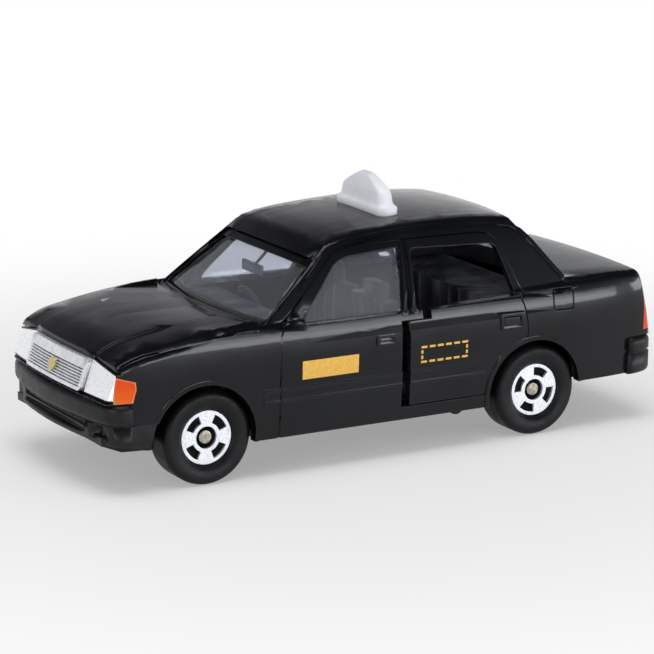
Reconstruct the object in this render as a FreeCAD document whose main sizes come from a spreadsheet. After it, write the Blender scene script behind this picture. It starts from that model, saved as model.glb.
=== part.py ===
import FreeCAD, Part
import math
import os

import Sketcher
from FreeCAD import Placement, Rotation, Vector

# Palm-size die-cast toy saloon taxi.
# Row frame: +X the car's front, +Y the car's left, +Z up, origin on the ground under the
# middle of the car. All lengths are in millimetres.

doc = FreeCAD.newDocument("toy_taxi")
sheet = doc.addObject("Spreadsheet::Sheet", "sizes")

SIZES = {
    # whole car
    "length_overall": 76.0,
    "width_overall": 28.4,
    "belt_height": 17.3,
    "roof_height": 27.2,
    "sill_height": 4.55,
    "tail_sill_height": 6.1,
    "overrun": 2.0,
    # casting
    "casting_wall": 1.0,
    "nose_wall": 2.0,
    "bonnet_crown": 0.42,
    "boot_crown": 0.25,
    "roof_crown": 0.3,
    "bonnet_raise": 0.3,
    "bonnet_raise_half": 7.7,
    "nose_bow": 0.95,
    "tail_bow": 0.7,
    "nose_rake": 1.3,
    "tail_rake": 1.65,
    "screen_bow": 1.4,
    "backlight_bow": 1.5,
    "shoulder_round": 1.4,
    "corner_round": 0.8,
    "roof_round": 0.7,
    "groove_depth": 0.55,
    "groove_width": 0.24,
    "rail_width": 0.45,
    "rail_height": 0.2,
    "ridge_width": 0.36,
    "moulding_low": 8.8,
    "moulding_high": 10.4,
    "moulding_height": 0.14,
    "moulding_rim": 0.22,
    "moulding_rim_width": 0.3,
    "arch_lip_width": 0.45,
    "handle_rim": 0.32,
    "handle_round": 0.25,
    "plate_height": 0.2,
    # windows
    "screen_recess": 0.6,
    "window_round": 0.45,
    "surround_width": 0.6,
    "surround_height": 0.28,
    "cowl_drop": 0.75,
    "pad_depth": 0.35,
    # running gear
    "wheel_base": 44.2,
    "axle_middle": 1.8,
    "wheel_radius": 5.5,
    "wheel_width": 4.4,
    "wheel_outer_face": 13.1,
    "well_gap": 0.6,
    "tyre_round": 0.75,
    "dish_radius": 3.8,
    "disc_radius": 3.2,
    "disc_recess": 0.55,
    "disc_thickness": 0.35,
    "hub_radius": 1.3,
    "hub_recess": 0.3,
    "window_outer_radius": 2.75,
    "window_inner_radius": 1.75,
    "window_angle": 46.0,
    "axle_radius": 0.5,
    "axle_clearance": 0.05,
    "axle_head_radius": 0.75,
    "axle_head_length": 0.35,
    "arch_radius": 6.45,
    "arch_shift": 0.8,
    "arch_lift": 0.1,
    # bumpers and base
    "bumper_top": 10.8,
    "bumper_step": 8.3,
    "bumper_bottom": 5.2,
    "bumper_inset": 0.45,
    "bumper_round": 0.7,
    "bumper_rise": 1.1,
    "nose_lift": 0.7,
    "bumper_wall": 2.2,
    "tail_bumper_top": 10.5,
    "tail_bumper_bottom": 5.9,
    "base_bottom": 4.3,
    "base_thickness": 1.0,
    "base_side_gap": 0.25,
    "tail_floor_lift": 1.6,
    "cheek_width": 1.2,
    "cheek_length": 2.6,
    "cheek_height": 2.2,
    "cheek_side_gap": 0.3,
    "post_radius": 1.5,
    "rivet_neck_radius": 0.8,
    "rivet_head_radius": 1.4,
    "rivet_head_height": 0.35,
    "front_post_x": 32.1,
    "rear_post_x": -30.5,
    # lamps and grille
    "inlay_depth": 0.6,
    "lamp_bottom": 11.35,
    "grille_half_width": 7.5,
    "grille_proud": 0.5,
    "grille_rim": 0.4,
    "grille_top_bar": 1.0,
    "grille_slot_depth": 0.3,
    "grille_rib": 0.14,
    "grille_round": 0.5,
    "tail_lamp_width": 4.2,
    "tail_lamp_bottom": 11.2,
    "badge_radius": 0.75,
    "badge_height": 0.35,
    # rear door
    "door_gap": 0.15,
    "door_hinge_gap": 1.0,
    "hinge_x": -3.0,
    "hinge_y": 12.7,
    "hinge_post_radius": 0.6,
    "hinge_pin_radius": 0.3,
    "hinge_pin_length": 0.8,
    "hinge_clearance": 0.05,
    "hinge_lug_radius": 0.75,
    # glazing, mirror and cabin
    "glass_thickness": 0.5,
    "glass_gap": 0.08,
    "mirror_width": 4.6,
    "mirror_height": 1.2,
    "mirror_thickness": 0.4,
    "mirror_x": 10.2,
    "mirror_y": -1.3,
    "mirror_z": 20.3,
    "mirror_stalk_radius": 0.18,
    "mirror_stalk_length": 3.0,
    "mirror_stalk_tilt": 47.0,
    "cabin_half_width": 11.2,
    "cabin_floor": 6.0,
    "cabin_floor_thickness": 0.9,
    "seat_width": 8.6,
    "seat_top": 10.6,
    "seat_back_top": 17.4,
    "seat_back_thickness": 1.9,
    "seat_back_x": -1.6,
    "seat_depth": 6.0,
    "seat_gap": 1.6,
    "bench_back_x": -13.6,
    "bench_depth": 5.2,
    "dash_x": 10.2,
    "dash_length": 3.6,
    "dash_top": 16.6,
    "column_length": 2.6,
    "headrest_height": 1.9,
    "headrest_width": 3.6,
    "wheel_rim_radius": 2.1,
    "wheel_rim_thickness": 0.35,
    "column_tilt": 65.0,
    "seat_rib_width": 0.7,
    "seat_rib_height": 0.3,
    "shelf_height": 0.6,
    "shelf_length": 6.5,
    # roof sign
    "sign_height": 4.3,
    "sign_half_width": 5.6,
    "sign_length": 2.8,
    "sign_front_x": -2.8,
    "sign_flange": 0.8,
    "lug_radius": 1.1,
    "lug_x": -9.6,
    "lug_lift": 4.85,
    "lug_length": 1.4,
}

for row, (alias, value) in enumerate(SIZES.items(), start=1):
    sheet.set(f"A{row}", alias)
    sheet.set(f"B{row}", str(value))
    sheet.setAlias(f"B{row}", alias)
doc.recompute()


def size(alias):
    """One driving dimension from the sheet, in millimetres."""
    return float(sheet.get(alias))


half_length = size("length_overall") / 2
half_width = size("width_overall") / 2
belt = size("belt_height")
roof_rise = size("roof_height") - belt
wall = size("casting_wall")
overrun = size("overrun")
wheel_radius = size("wheel_radius")
front_axle_x = size("axle_middle") + size("wheel_base") / 2
rear_axle_x = size("axle_middle") - size("wheel_base") / 2

# Outlines of the casting. Along the car a share of half the length, across it a share of half
# the width, lower heights a share of the belt height, and cabin heights a share of the rise
# from belt to roof.
DECK_SHARES = [
    (1.100, 0.700), (1.020, 0.800), (0.965, 0.850), (0.932, 0.889), (0.900, 0.925), (0.860, 0.959),
    (0.805, 0.985), (0.737, 1.011), (0.668, 1.034), (0.597, 1.053), (0.526, 1.068), (0.450, 1.076),
    (0.250, 1.080), (0.000, 1.083), (-0.300, 1.090), (-0.600, 1.098), (-0.800, 1.096),
    (-0.910, 1.086), (-0.960, 1.072), (-1.020, 1.030), (-1.100, 0.950),
]
PLAN_SHARES = [
    (1.100, 0.840), (1.020, 0.885), (0.955, 0.917), (0.918, 0.940), (0.870, 0.972), (0.800, 0.990),
    (0.640, 0.998), (0.300, 1.000), (0.000, 1.000), (-0.320, 1.000), (-0.630, 0.992),
    (-0.790, 0.975), (-0.890, 0.945), (-0.945, 0.918), (-0.990, 0.885), (-1.100, 0.800),
]
FLANK_SHARES = [
    (0.120, -0.075), (0.263, -0.037), (0.350, -0.025), (0.490, -0.018), (0.600, -0.0155),
    (0.690, -0.011), (0.780, -0.009), (0.850, -0.013), (0.925, -0.0225), (1.000, -0.040),
    (1.100, -0.075), (1.300, -0.160),
]
ROOF_SHARES = [
    (0.560, 0.220), (0.420, 0.500), (0.316, 0.685), (0.237, 0.808), (0.200, 0.858), (0.145, 0.910),
    (0.053, 0.956), (-0.079, 0.988), (-0.184, 1.000), (-0.342, 0.990), (-0.440, 0.957),
    (-0.513, 0.905), (-0.579, 0.820), (-0.700, 0.600), (-0.800, 0.360),
]
CABIN_PLAN_SHARES = [
    (0.560, -0.050), (0.432, -0.028), (0.300, -0.014), (0.200, -0.006), (0.080, -0.001),
    (0.000, 0.000), (-0.300, 0.000), (-0.420, -0.003), (-0.520, -0.010), (-0.680, -0.025),
    (-0.800, -0.045),
]
CABIN_FLANK_SHARES = [
    (-0.400, 1.010), (-0.131, 0.979), (0.010, 0.947), (0.273, 0.888), (0.475, 0.838), (0.677, 0.783),
    (0.828, 0.737), (0.980, 0.685), (1.150, 0.622),
]
ACROSS_SHARES = [-1.20, -0.95, -0.65, -0.33, 0.0, 0.33, 0.65, 0.95, 1.20]


def curved_block(grid, push):
    """Solid between a smooth surface through a grid of points and its copy moved by push."""
    surface = Part.BSplineSurface()
    surface.interpolate(grid)
    return surface.toShape().extrude(push)


def under_deck(inset):
    """Everything below the bonnet, belt and boot surface, lowered by the inset."""
    grid = []
    for place_share, height_share in DECK_SHARES:
        blend = min(max(place_share + 0.5, 0.0), 1.0)
        crown = size("boot_crown") + (size("bonnet_crown") - size("boot_crown")) * blend
        grid.append([
            Vector(place_share * half_length, share * half_width,
                   height_share * belt - crown * share * share - inset)
            for share in ACROSS_SHARES
        ])
    return curved_block(grid, Vector(0, 0, -2 * belt))


def within_flanks(inset):
    """The space between the two body sides, each moved inwards by the inset."""
    blocks = []
    for side in (1, -1):
        grid = [
            [Vector(place_share * half_length,
                    side * ((plan_share + flank_share) * half_width - inset),
                    height_share * belt)
             for height_share, flank_share in FLANK_SHARES]
            for place_share, plan_share in PLAN_SHARES
        ]
        blocks.append(curved_block(grid, Vector(0, -side * 2.4 * half_width, 0)))
    return blocks[0].common(blocks[1])


def within_ends(inset):
    """The space between the raked, slightly bowed nose and tail faces."""
    nose_low = 0.975 * half_length
    tail_low = -0.991 * half_length
    low = 0.640 * belt
    blocks = []
    for sign, low_x, rake, bow in (
        (1, nose_low, size("nose_rake"), size("nose_bow")),
        (-1, tail_low, size("tail_rake"), size("tail_bow")),
    ):
        rise = 0.23 * belt if sign > 0 else 0.45 * belt
        grid = []
        for height_share in (0.0, 0.3, 0.64, 0.8, 0.95, 1.1, 1.3):
            z = height_share * belt
            lean = max(z - low, 0.0) / rise * rake
            grid.append([
                Vector(low_x - sign * (lean + bow * share * share + inset), share * half_width, z)
                for share in ACROSS_SHARES
            ])
        blocks.append(curved_block(grid, Vector(-sign * 2.4 * half_length, 0, 0)))
    return blocks[0].common(blocks[1])


def under_roof(inset):
    """Everything below the crowned roof surface."""
    grid = []
    for place_share, height_share in ROOF_SHARES:
        grid.append([
            Vector(place_share * half_length, share * half_width,
                   belt + height_share * roof_rise
                   - size("roof_crown") * (share / 0.72) ** 2 - inset)
            for share in ACROSS_SHARES
        ])
    return curved_block(grid, Vector(0, 0, -2 * roof_rise))


def within_cabin_sides(inset):
    """The space between the leaning cabin sides."""
    blocks = []
    for side in (1, -1):
        grid = [
            [Vector(place_share * half_length,
                    side * ((plan_share + flank_share) * half_width - inset),
                    belt + height_share * roof_rise)
             for height_share, flank_share in CABIN_FLANK_SHARES]
            for place_share, plan_share in CABIN_PLAN_SHARES
        ]
        blocks.append(curved_block(grid, Vector(0, -side * 2.4 * half_width, 0)))
    return blocks[0].common(blocks[1])


def screen_x(height_share, across_share, inset):
    """Where the front face of the pillars lies, by height in the rise and share of the width."""
    return (0.505 * half_length - 0.341 * half_length * height_share
            - size("screen_bow") * (across_share / 0.845) ** 2 - inset * 1.65)


def backlight_x(height_share, across_share, inset):
    """Where the rear window surface lies."""
    return (-0.721 * half_length + 0.243 * half_length * height_share
            + size("backlight_bow") * (across_share / 0.845) ** 2 + inset * 1.37)


def within_screens(inset):
    """The space between the raked windscreen and the rear window."""
    blocks = []
    heights = (-0.25, 0.0, 0.3, 0.6, 0.85, 1.1)
    front = [
        [Vector(screen_x(h_share, share, inset), share * half_width, belt + h_share * roof_rise)
         for share in ACROSS_SHARES]
        for h_share in heights
    ]
    rear = [
        [Vector(backlight_x(h_share, share, inset), share * half_width, belt + h_share * roof_rise)
         for share in ACROSS_SHARES]
        for h_share in heights
    ]
    blocks.append(curved_block(front, Vector(-1.8 * half_length, 0, 0)))
    blocks.append(curved_block(rear, Vector(1.8 * half_length, 0, 0)))
    return blocks[0].common(blocks[1])


def lower_body(inset):
    """The casting below the belt, as a solid, with its faces moved in by the inset."""
    return under_deck(inset).common(within_flanks(inset)).common(within_ends(inset))


def cabin_body(inset):
    """The cabin above the belt, as a solid, with its faces moved in by the inset."""
    return under_roof(inset).common(within_cabin_sides(inset)).common(within_screens(inset))


def slab(low, high):
    """Box between two corners."""
    size_x, size_y, size_z = (high[i] - low[i] for i in range(3))
    return Part.makeBox(size_x, size_y, size_z, Vector(*low))


def prism(points, direction):
    """Prism of a closed polygon along a direction."""
    return Part.Face(Part.makePolygon(list(points) + [points[0]])).extrude(direction)


def side_prism(points, from_y, to_y):
    """Prism of a side-view outline between two places across the car."""
    return prism([Vector(x, from_y, z) for x, z in points], Vector(0, to_y - from_y, 0))


def rounded_wire(points, radius):
    """Closed wire through the points in one plane, with each corner rounded."""
    edges = []
    count = len(points)
    starts = []
    for index in range(count):
        before = points[index - 1]
        corner = points[index]
        after = points[(index + 1) % count]
        to_before = (before - corner).normalize()
        to_after = (after - corner).normalize()
        half_angle = to_before.getAngle(to_after) / 2
        cut = radius / math.tan(half_angle)
        centre = corner + (to_before + to_after).normalize() * (radius / math.sin(half_angle))
        middle = centre + (corner - centre).normalize() * radius
        starts.append((corner + to_before * cut, middle, corner + to_after * cut))
    for index in range(count):
        first, middle, last = starts[index]
        edges.append(Part.Arc(first, middle, last).toShape())
        edges.append(Part.LineSegment(last, starts[(index + 1) % count][0]).toShape())
    return Part.Wire(edges)


def lower_hollow(inset):
    """The hollow under the bonnet, cabin floor and boot."""
    return under_deck(inset).common(within_flanks(inset)).common(within_ends(size("nose_wall")))


def strip_outline(points, width):
    """Closed outline of a narrow band along a line of points."""
    vectors = [Vector(across, up, 0) for across, up in points]
    upper, lower = [], []
    for index, point in enumerate(vectors):
        before = vectors[max(index - 1, 0)]
        after = vectors[min(index + 1, len(vectors) - 1)]
        along = (after - before).normalize()
        aside = Vector(-along.y, along.x, 0) * (width / 2)
        upper.append(point + aside)
        lower.append(point - aside)
    return [(point.x, point.y) for point in upper + lower[::-1]]


def side_strip(points, width, from_y):
    """Band along a line seen from the side, from a place inside the wall outwards."""
    return side_prism(strip_outline(points, width), from_y, far_y)


def side_panel(outline, radius, from_y, to_y):
    """Block of a side-view outline with rounded corners."""
    wire = rounded_wire([Vector(x, from_y, z) for x, z in outline], radius)
    return Part.Face(wire).extrude(Vector(0, to_y - from_y, 0))


def grown(face, distance):
    """A flat face made larger or, with a negative distance, smaller all round."""
    return face.makeOffset2D(distance, join=2)


def rectangle(low_x, high_x, low_z, high_z):
    """Corners of a side-view rectangle."""
    return [(low_x, low_z), (high_x, low_z), (high_x, high_z), (low_x, high_z)]


def above(height, shape):
    """The part of a shape above a height."""
    reach = 2 * half_length
    return shape.common(slab((-reach, -reach, height), (reach, reach, reach)))


def soften(shape, radius, keep):
    """Round every edge whose middle the keep test accepts."""
    edges = [edge for edge in shape.Edges if keep(edge.CenterOfMass)]
    return shape.makeFillet(radius, edges)


def mirror(shape):
    """The other side's copy."""
    return shape.mirror(Vector(0, 0, 0), Vector(0, 1, 0))


def raised_bonnet():
    """The middle of the bonnet, a little higher than its sides, with softened edges."""
    reach = size("bonnet_raise_half")
    height = size("bonnet_raise")
    block = slab((0.3 * half_length, -reach, 0), (half_length, reach, 2 * belt))
    block = block.common(under_deck(-height)).common(within_ends(0))
    return soften(block, 0.9 * height,
                  lambda c: c.z > 0.85 * belt and c.x > 0.45 * half_length)


def feature(name, shape):
    """Put a finished shape in the document under its own label."""
    item = doc.addObject("Part::Feature", name)
    item.Label = name
    item.Shape = shape
    return item


def across_points(points, x):
    """Points of a front-view outline, given across and up."""
    return [Vector(x, y, z) for y, z in points]


# The casting's outer form, and the forms that its walls, seams and inlays are cut with.
far_x = half_length + overrun
far_y = half_width + overrun
recess = size("screen_recess")
groove_depth = size("groove_depth")
upper_edge = 0.45 * belt
outer_lower = soften(lower_body(0), size("shoulder_round"),
                     lambda c: c.z > upper_edge and abs(c.x) < 0.5 * half_length)
outer_lower = soften(outer_lower, size("corner_round"),
                     lambda c: c.z > upper_edge and abs(c.x) > 0.8 * half_length)
outer_cabin = soften(cabin_body(0), size("roof_round"), lambda c: c.z > belt + 0.2 * roof_rise)
envelope = outer_lower.fuse([above(belt - overrun, outer_cabin), raised_bonnet()])
hollow = lower_hollow(wall).fuse(above(belt - overrun, cabin_body(wall)))
inlay_core = within_flanks(size("inlay_depth")).common(within_ends(size("inlay_depth")))
seam_core = lower_body(groove_depth).fuse(cabin_body(groove_depth))
nose_core = within_ends(groove_depth)
low_relief = within_flanks(-size("moulding_height"))
high_relief = within_flanks(-size("moulding_rim"))
cabin_relief = within_cabin_sides(-size("rail_height"))


def level(share):
    """A height: up to one a share of the belt height, above one a share of the rise as well."""
    return belt * min(share, 1.0) + roof_rise * max(share - 1.0, 0.0)


def side_line(shares):
    """A side-view line or outline from its table of shares."""
    return [(x_share * half_length, level(z_share)) for x_share, z_share in shares]


# Lamp and grille outlines, seen from the front.
grille_side = size("grille_half_width")
lamp_bottom = size("lamp_bottom")
grille_top = 0.864 * belt
lamp_top = 0.815 * belt
lamp_side = 0.923 * half_width
corner_inner = 0.873 * half_width
corner_rear_x = 0.872 * half_length
nose_mid_x = 0.9 * half_length

corner_plan = [
    (corner_rear_x, corner_inner), (nose_mid_x, corner_inner), (far_x, 1.03 * half_width),
    (far_x, far_y), (corner_rear_x, far_y),
]
corner_side = [
    (0.882 * half_length, 0.633 * belt), (0.872 * half_length, 0.723 * belt),
    (0.874 * half_length, 0.772 * belt), (0.929 * half_length, 0.806 * belt),
    (far_x, lamp_top + 0.01 * belt), (far_x, 0.633 * belt),
]
corner_zone = prism([Vector(x, y, 0) for x, y in corner_plan], Vector(0, 0, belt)).common(
    side_prism(corner_side, 0, far_y))
headlamp_zone = prism(
    across_points([(grille_side, lamp_bottom), (lamp_side + overrun, lamp_bottom),
                   (lamp_side + overrun, lamp_top - 0.02 * belt), (grille_side, grille_top)],
                  nose_mid_x - overrun), Vector(2 * overrun + far_x - nose_mid_x, 0, 0)
).cut(prism([Vector(x, y, 0) for x, y in corner_plan], Vector(0, 0, belt)))
headlamp_zone = headlamp_zone.common(
    prism([Vector(x, y, 0) for x, y in (
        (nose_mid_x, 0), (far_x, 0), (far_x, 1.03 * half_width), (nose_mid_x, corner_inner))],
        Vector(0, 0, belt)))
grille_zone = prism(
    across_points([(-grille_side, lamp_bottom), (grille_side, lamp_bottom),
                   (grille_side, grille_top), (-grille_side, grille_top)], nose_mid_x),
    Vector(far_x - nose_mid_x, 0, 0))

# Tail lamps wrap round the rear corners.
tail_inner_y = 0.885 * half_width - size("tail_lamp_width") + overrun
tail_zone = slab((-far_x, tail_inner_y, size("tail_lamp_bottom")),
                 (-0.945 * half_length, far_y, 1.01 * belt))


def inlay(zone):
    """A thin piece of the casting's outer skin inside a zone."""
    return envelope.common(zone).cut(inlay_core)


# Openings of the casting: x shares or y shares, and heights as shares of the rise.
FRONT_WINDOW = [
    (0.322, 0.0), (0.182, 0.60), (0.160, 0.655), (0.130, 0.69), (-0.058, 0.735), (-0.034, 0.0),
]
REAR_WINDOW = [
    (-0.081, 0.012), (-0.096, 0.703), (-0.385, 0.655), (-0.402, 0.61), (-0.447, 0.035),
]
WINDSCREEN = [
    (-0.870, 0.055), (-0.712, 0.605), (-0.35, 0.628), (0, 0.635), (0.35, 0.628), (0.712, 0.605),
    (0.870, 0.055), (0.45, 0.045), (0, 0.04), (-0.45, 0.045),
]
SCREEN_POCKET = [
    (-0.912, 0.012), (-0.745, 0.70), (-0.35, 0.722), (0, 0.73), (0.35, 0.722), (0.745, 0.70),
    (0.912, 0.012),
]
BACKLIGHT = [
    (-0.80, 0.235), (-0.63, 0.69), (0, 0.755), (0.63, 0.69), (0.80, 0.235), (0, 0.27),
]
POCKET_PLAN = [(0.443, 0.93), (0.462, 0.60), (0.477, 0.30), (0.481, 0.0)]
COWL_PLAN = [(0.458, 0.93), (0.466, 0.86), (0.490, 0.63), (0.508, 0.42), (0.519, 0.21), (0.523, 0.0)]


def side_window(outline):
    """Face of a left side window, with rounded corners."""
    points = [Vector(x_share * half_length, 0.5 * half_width, belt + z_share * roof_rise)
              for x_share, z_share in outline]
    return Part.Face(rounded_wire(points, size("window_round")))


def end_window(outline, x_share):
    """Face of a window across the car, with rounded corners."""
    points = [Vector(x_share * half_length, y_share * half_width, belt + z_share * roof_rise)
              for y_share, z_share in outline]
    return Part.Face(rounded_wire(points, size("window_round")))


side_reach = Vector(0, far_y, 0)
nose_reach = Vector(far_x, 0, 0)
front_window = side_window(FRONT_WINDOW)
rear_window = side_window(REAR_WINDOW)
windscreen = end_window(WINDSCREEN, 0.1)
backlight = end_window(BACKLIGHT, -0.35)


def plan_block(shares, from_x, low, high):
    """Block with a curved front edge seen from above, and the same on the other side."""
    front = [(x * half_length, y * half_width) for x, y in shares]
    outline = front + [(x, -y) for x, y in reversed(front[:-1])]
    outline += [(from_x, outline[-1][1]), (from_x, outline[0][1])]
    return prism([Vector(x, y, low) for x, y in outline], Vector(0, 0, high - low))


def end_opening(face, reach):
    """Block of a window across the car, through the casting's wall only."""
    return face.extrude(reach).cut(within_screens(1.25 * wall))


def screen_cuts():
    """The windscreen's opening, the pocket round it and the lower cowl in front of it."""
    opening = end_opening(windscreen, nose_reach)
    pocket = end_window(SCREEN_POCKET, 0.1).extrude(nose_reach).cut(within_screens(recess))
    pocket = pocket.common(plan_block(POCKET_PLAN, 0, belt - overrun, far_x))
    cowl = plan_block(COWL_PLAN, 0.3 * half_length, belt - overrun, 1.3 * belt)
    cowl = cowl.cut([under_deck(size("cowl_drop")), outer_cabin])
    return [opening, pocket, cowl]


def surround():
    """Raised frame round the windscreen, standing in the pocket."""
    face = end_window(SCREEN_POCKET, 0.1)
    ring = grown(windscreen, size("surround_width")).common(face).cut(windscreen)
    frame = ring.extrude(nose_reach).common(cabin_body(recess - size("surround_height")))
    return frame.cut(within_screens(0.9 * wall))


def arch(axle_x):
    """Wheel arch cut through both sides."""
    centre = Vector(axle_x + size("arch_shift"), -far_y, wheel_radius + size("arch_lift"))
    return Part.makeCylinder(size("arch_radius"), 2 * far_y, centre, Vector(0, 1, 0))


arches = [arch(front_axle_x), arch(rear_axle_x)]

# Rear door outline in side view; its rear edge follows the wheel arch.
door_front_x = -0.055 * half_length
door_bottom = size("sill_height") + 0.1 * belt
hinge_top = 0.940 * belt
door_outline = [
    (door_front_x, door_bottom), (door_front_x, hinge_top), (-0.132 * half_length, hinge_top),
    (-0.132 * half_length, 1.002 * belt), (-0.459 * half_length, 1.004 * belt),
    (-0.469 * half_length, 0.952 * belt), (-0.480 * half_length, 0.838 * belt),
    (-0.482 * half_length, 0.60 * belt), (-0.482 * half_length, door_bottom),
]
gap = size("door_gap")
hinge_x = size("hinge_x")
hinge_y = size("hinge_y")


def rear_arch(radius):
    """Round block over the rear wheel on the left, as wide as the door edge or its gap needs."""
    centre = Vector(rear_axle_x + size("arch_shift"), 0, wheel_radius + size("arch_lift"))
    return Part.makeCylinder(radius, far_y, centre, Vector(0, 1, 0))


door_arch = size("arch_radius") + 0.7 * wall
door_zone = side_prism(door_outline, 0.5 * half_width, far_y).cut(rear_arch(door_arch))
opening_outline = [
    (x + (size("door_hinge_gap") if x > 2 * hinge_x else 0.0), z) for x, z in door_outline
]


def door_gap_zone(outline, width):
    """The door's outline made larger all round, short of the wheel arch."""
    face = Part.Face(Part.makePolygon(
        [Vector(x, 0.5 * half_width, z) for x, z in outline + outline[:1]]))
    return grown(face, width).extrude(side_reach).cut(rear_arch(door_arch - width))


opening_zone = door_gap_zone(opening_outline, gap)

# Seams, rails and ridges of the casting, seen from the side.
FRONT_DOOR_SEAM = [
    (0.3995, 0.20), (0.396, 0.81), (0.392, 0.948), (0.376, 1.040), (0.335, 1.192), (0.176, 1.748),
    (0.137, 1.793), (0.0755, 1.818), (-0.074, 1.808), (-0.341, 1.792), (-0.384, 1.762),
    (-0.413, 1.657), (-0.474, 1.030),
]
BONNET_SEAM = [
    (0.915, 0.868), (0.879, 0.905), (0.842, 0.930), (0.749, 0.957), (0.616, 0.982), (0.468, 0.999),
]
MIDDLE_SEAM = [(-0.058, 1.010), (-0.076, 1.812)]
GUTTER_RAIL = [
    (0.384, 1.091), (0.303, 1.394), (0.226, 1.672), (0.200, 1.758), (0.144, 1.845), (0.040, 1.894),
    (-0.067, 1.921), (-0.184, 1.924), (-0.292, 1.915), (-0.395, 1.889), (-0.463, 1.848),
    (-0.500, 1.768), (-0.532, 1.646), (-0.584, 1.394), (-0.633, 1.172),
]
MIDDLE_RIDGES = [
    [(-0.0425, 1.010), (-0.0645, 1.775)],
    [(-0.0735, 1.010), (-0.0885, 1.775)],
]
MOULDING_ENDS = (0.453, -0.339, -0.326)
BOOT_SEAM_PLAN = [(-0.637, 0.898), (-0.763, 0.891), (-0.880, 0.875), (-0.940, 0.855)]
FRONT_HANDLE = (-0.006, 0.065, 0.798, 0.873)
REAR_HANDLE = (-0.468, -0.382, 0.792, 0.908)
FUEL_FLAP = (-0.660, -0.579, 0.876, 1.031)


def handle(shares):
    """A door handle: the raised block round it, and the channel cut round its bar."""
    rim = size("handle_rim")
    low_x, high_x = shares[0] * half_length, shares[1] * half_length
    low_z, high_z = shares[2] * belt, shares[3] * belt
    inside = 0.8 * half_width
    radius = size("handle_round")
    block = side_panel(rectangle(low_x, high_x, low_z, high_z), radius, inside, far_y)
    pan = side_panel(rectangle(low_x + rim, high_x - rim, low_z + rim, high_z - rim),
                     radius / 2, inside, far_y)
    bar = side_panel(rectangle(low_x + 2.2 * rim, high_x - 1.6 * rim,
                               low_z + 1.7 * rim, high_z - 1.7 * rim),
                     radius / 4, inside, far_y)
    return block.common(high_relief), pan.cut([bar, seam_core])


front_handle, front_handle_pan = handle(FRONT_HANDLE)
rear_handle, rear_handle_pan = handle(REAR_HANDLE)


def relief():
    """What stands proud of the casting's left side: rails, ridges, handles, moulding, arch lips."""
    inside = 0.55 * half_width
    wide = size("rail_width")
    rails = [side_strip(side_line(GUTTER_RAIL), wide, inside)]
    rails += [side_strip(side_line(ridge), size("ridge_width"), inside)
              for ridge in MIDDLE_RIDGES]
    rails = rails[0].fuse(rails[1:]).common(cabin_relief)
    low, high = size("moulding_low"), size("moulding_high")
    front_x, rear_x, rear_low_x = (share * half_length for share in MOULDING_ENDS)
    rim = size("moulding_rim_width")
    band = side_prism([(front_x, low), (front_x, high), (rear_x, high), (rear_low_x, low)],
                      inside, far_y)
    edges = side_prism(rectangle(rear_x, front_x, low, low + rim), inside, far_y).fuse([
        side_prism(rectangle(rear_x, front_x, high - rim, high), inside, far_y)])
    lips = [Part.makeCylinder(size("arch_radius") + size("arch_lip_width"), far_y,
                              Vector(axle_x + size("arch_shift"), inside,
                                     wheel_radius + size("arch_lift")), Vector(0, 1, 0))
            for axle_x in (front_axle_x, rear_axle_x)]
    flat = band.fuse(lips).common(low_relief)
    return [rails, flat, edges.common(band).common(high_relief), front_handle, rear_handle]


def side_seams():
    """Seams and pans cut in both sides alike."""
    width = size("groove_width")
    inside = 0.55 * half_width
    lines = [side_line(FRONT_DOOR_SEAM), side_line(MIDDLE_SEAM)]
    seams = [side_strip(line, width, inside) for line in lines]
    seams.append(side_strip(side_line(BONNET_SEAM), width, 0.8 * half_width))
    boot = [(x * half_length, y * half_width) for x, y in BOOT_SEAM_PLAN]
    seams.append(prism([Vector(x, y, 0.9 * belt) for x, y in strip_outline(boot, width)],
                       Vector(0, 0, belt)))
    cut = seams[0].fuse(seams[1:]).cut(seam_core)
    return [cut, front_handle_pan]


def fuel_flap_seam():
    """Ring seam of the fuel flap on the left rear wing."""
    low_x, high_x = FUEL_FLAP[0] * half_length, FUEL_FLAP[1] * half_length
    outline = rectangle(low_x, high_x, FUEL_FLAP[2] * belt, FUEL_FLAP[3] * belt)
    width = size("groove_width")
    inner = rectangle(low_x + width, high_x - width, FUEL_FLAP[2] * belt + width,
                      FUEL_FLAP[3] * belt - width)
    radius = 2 * size("handle_round")
    ring = side_panel(outline, radius, 0.7 * half_width, far_y).cut(
        side_panel(inner, radius - width / 2, 0.7 * half_width, far_y))
    return ring.cut(seam_core)


def end_seams():
    """Gaps above and below the lamps, and the boot lid's edges beside the tail lamps."""
    width = size("groove_width")
    start = nose_mid_x - overrun
    run = Vector(far_x - start, 0, 0)
    upper = [(grille_side + width, grille_top + width), (far_y, lamp_top - 0.02 * belt + width / 2)]
    below = [(-lamp_side, lamp_bottom - width), (lamp_side, lamp_bottom - width)]
    strips = [prism(across_points(strip_outline(upper, width), start), run)]
    strips.append(mirror(strips[0]))
    strips.append(prism(across_points(strip_outline(below, width), start), run))
    for side in (1, -1):
        low_y, high_y = sorted((side * (tail_inner_y - width), side * (tail_inner_y - 2 * width)))
        strips.append(slab((-far_x, low_y, size("tail_bumper_top")),
                           (-0.9 * half_length, high_y, 1.2 * belt)))
    return strips[0].fuse(strips[1:]).cut(nose_core)


def plate_panel():
    """Raised blank plate panel between the tail lamps."""
    block = slab((-far_x, -0.24 * half_width, 0.69 * belt), (-0.9 * half_length,
                                                             0.24 * half_width, 0.87 * belt))
    return block.common(within_ends(-size("plate_height")))


left_relief = relief()
casting = envelope.fuse(left_relief + [mirror(piece) for piece in left_relief] + [plate_panel()])
skin = casting.cut(hollow)


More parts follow.
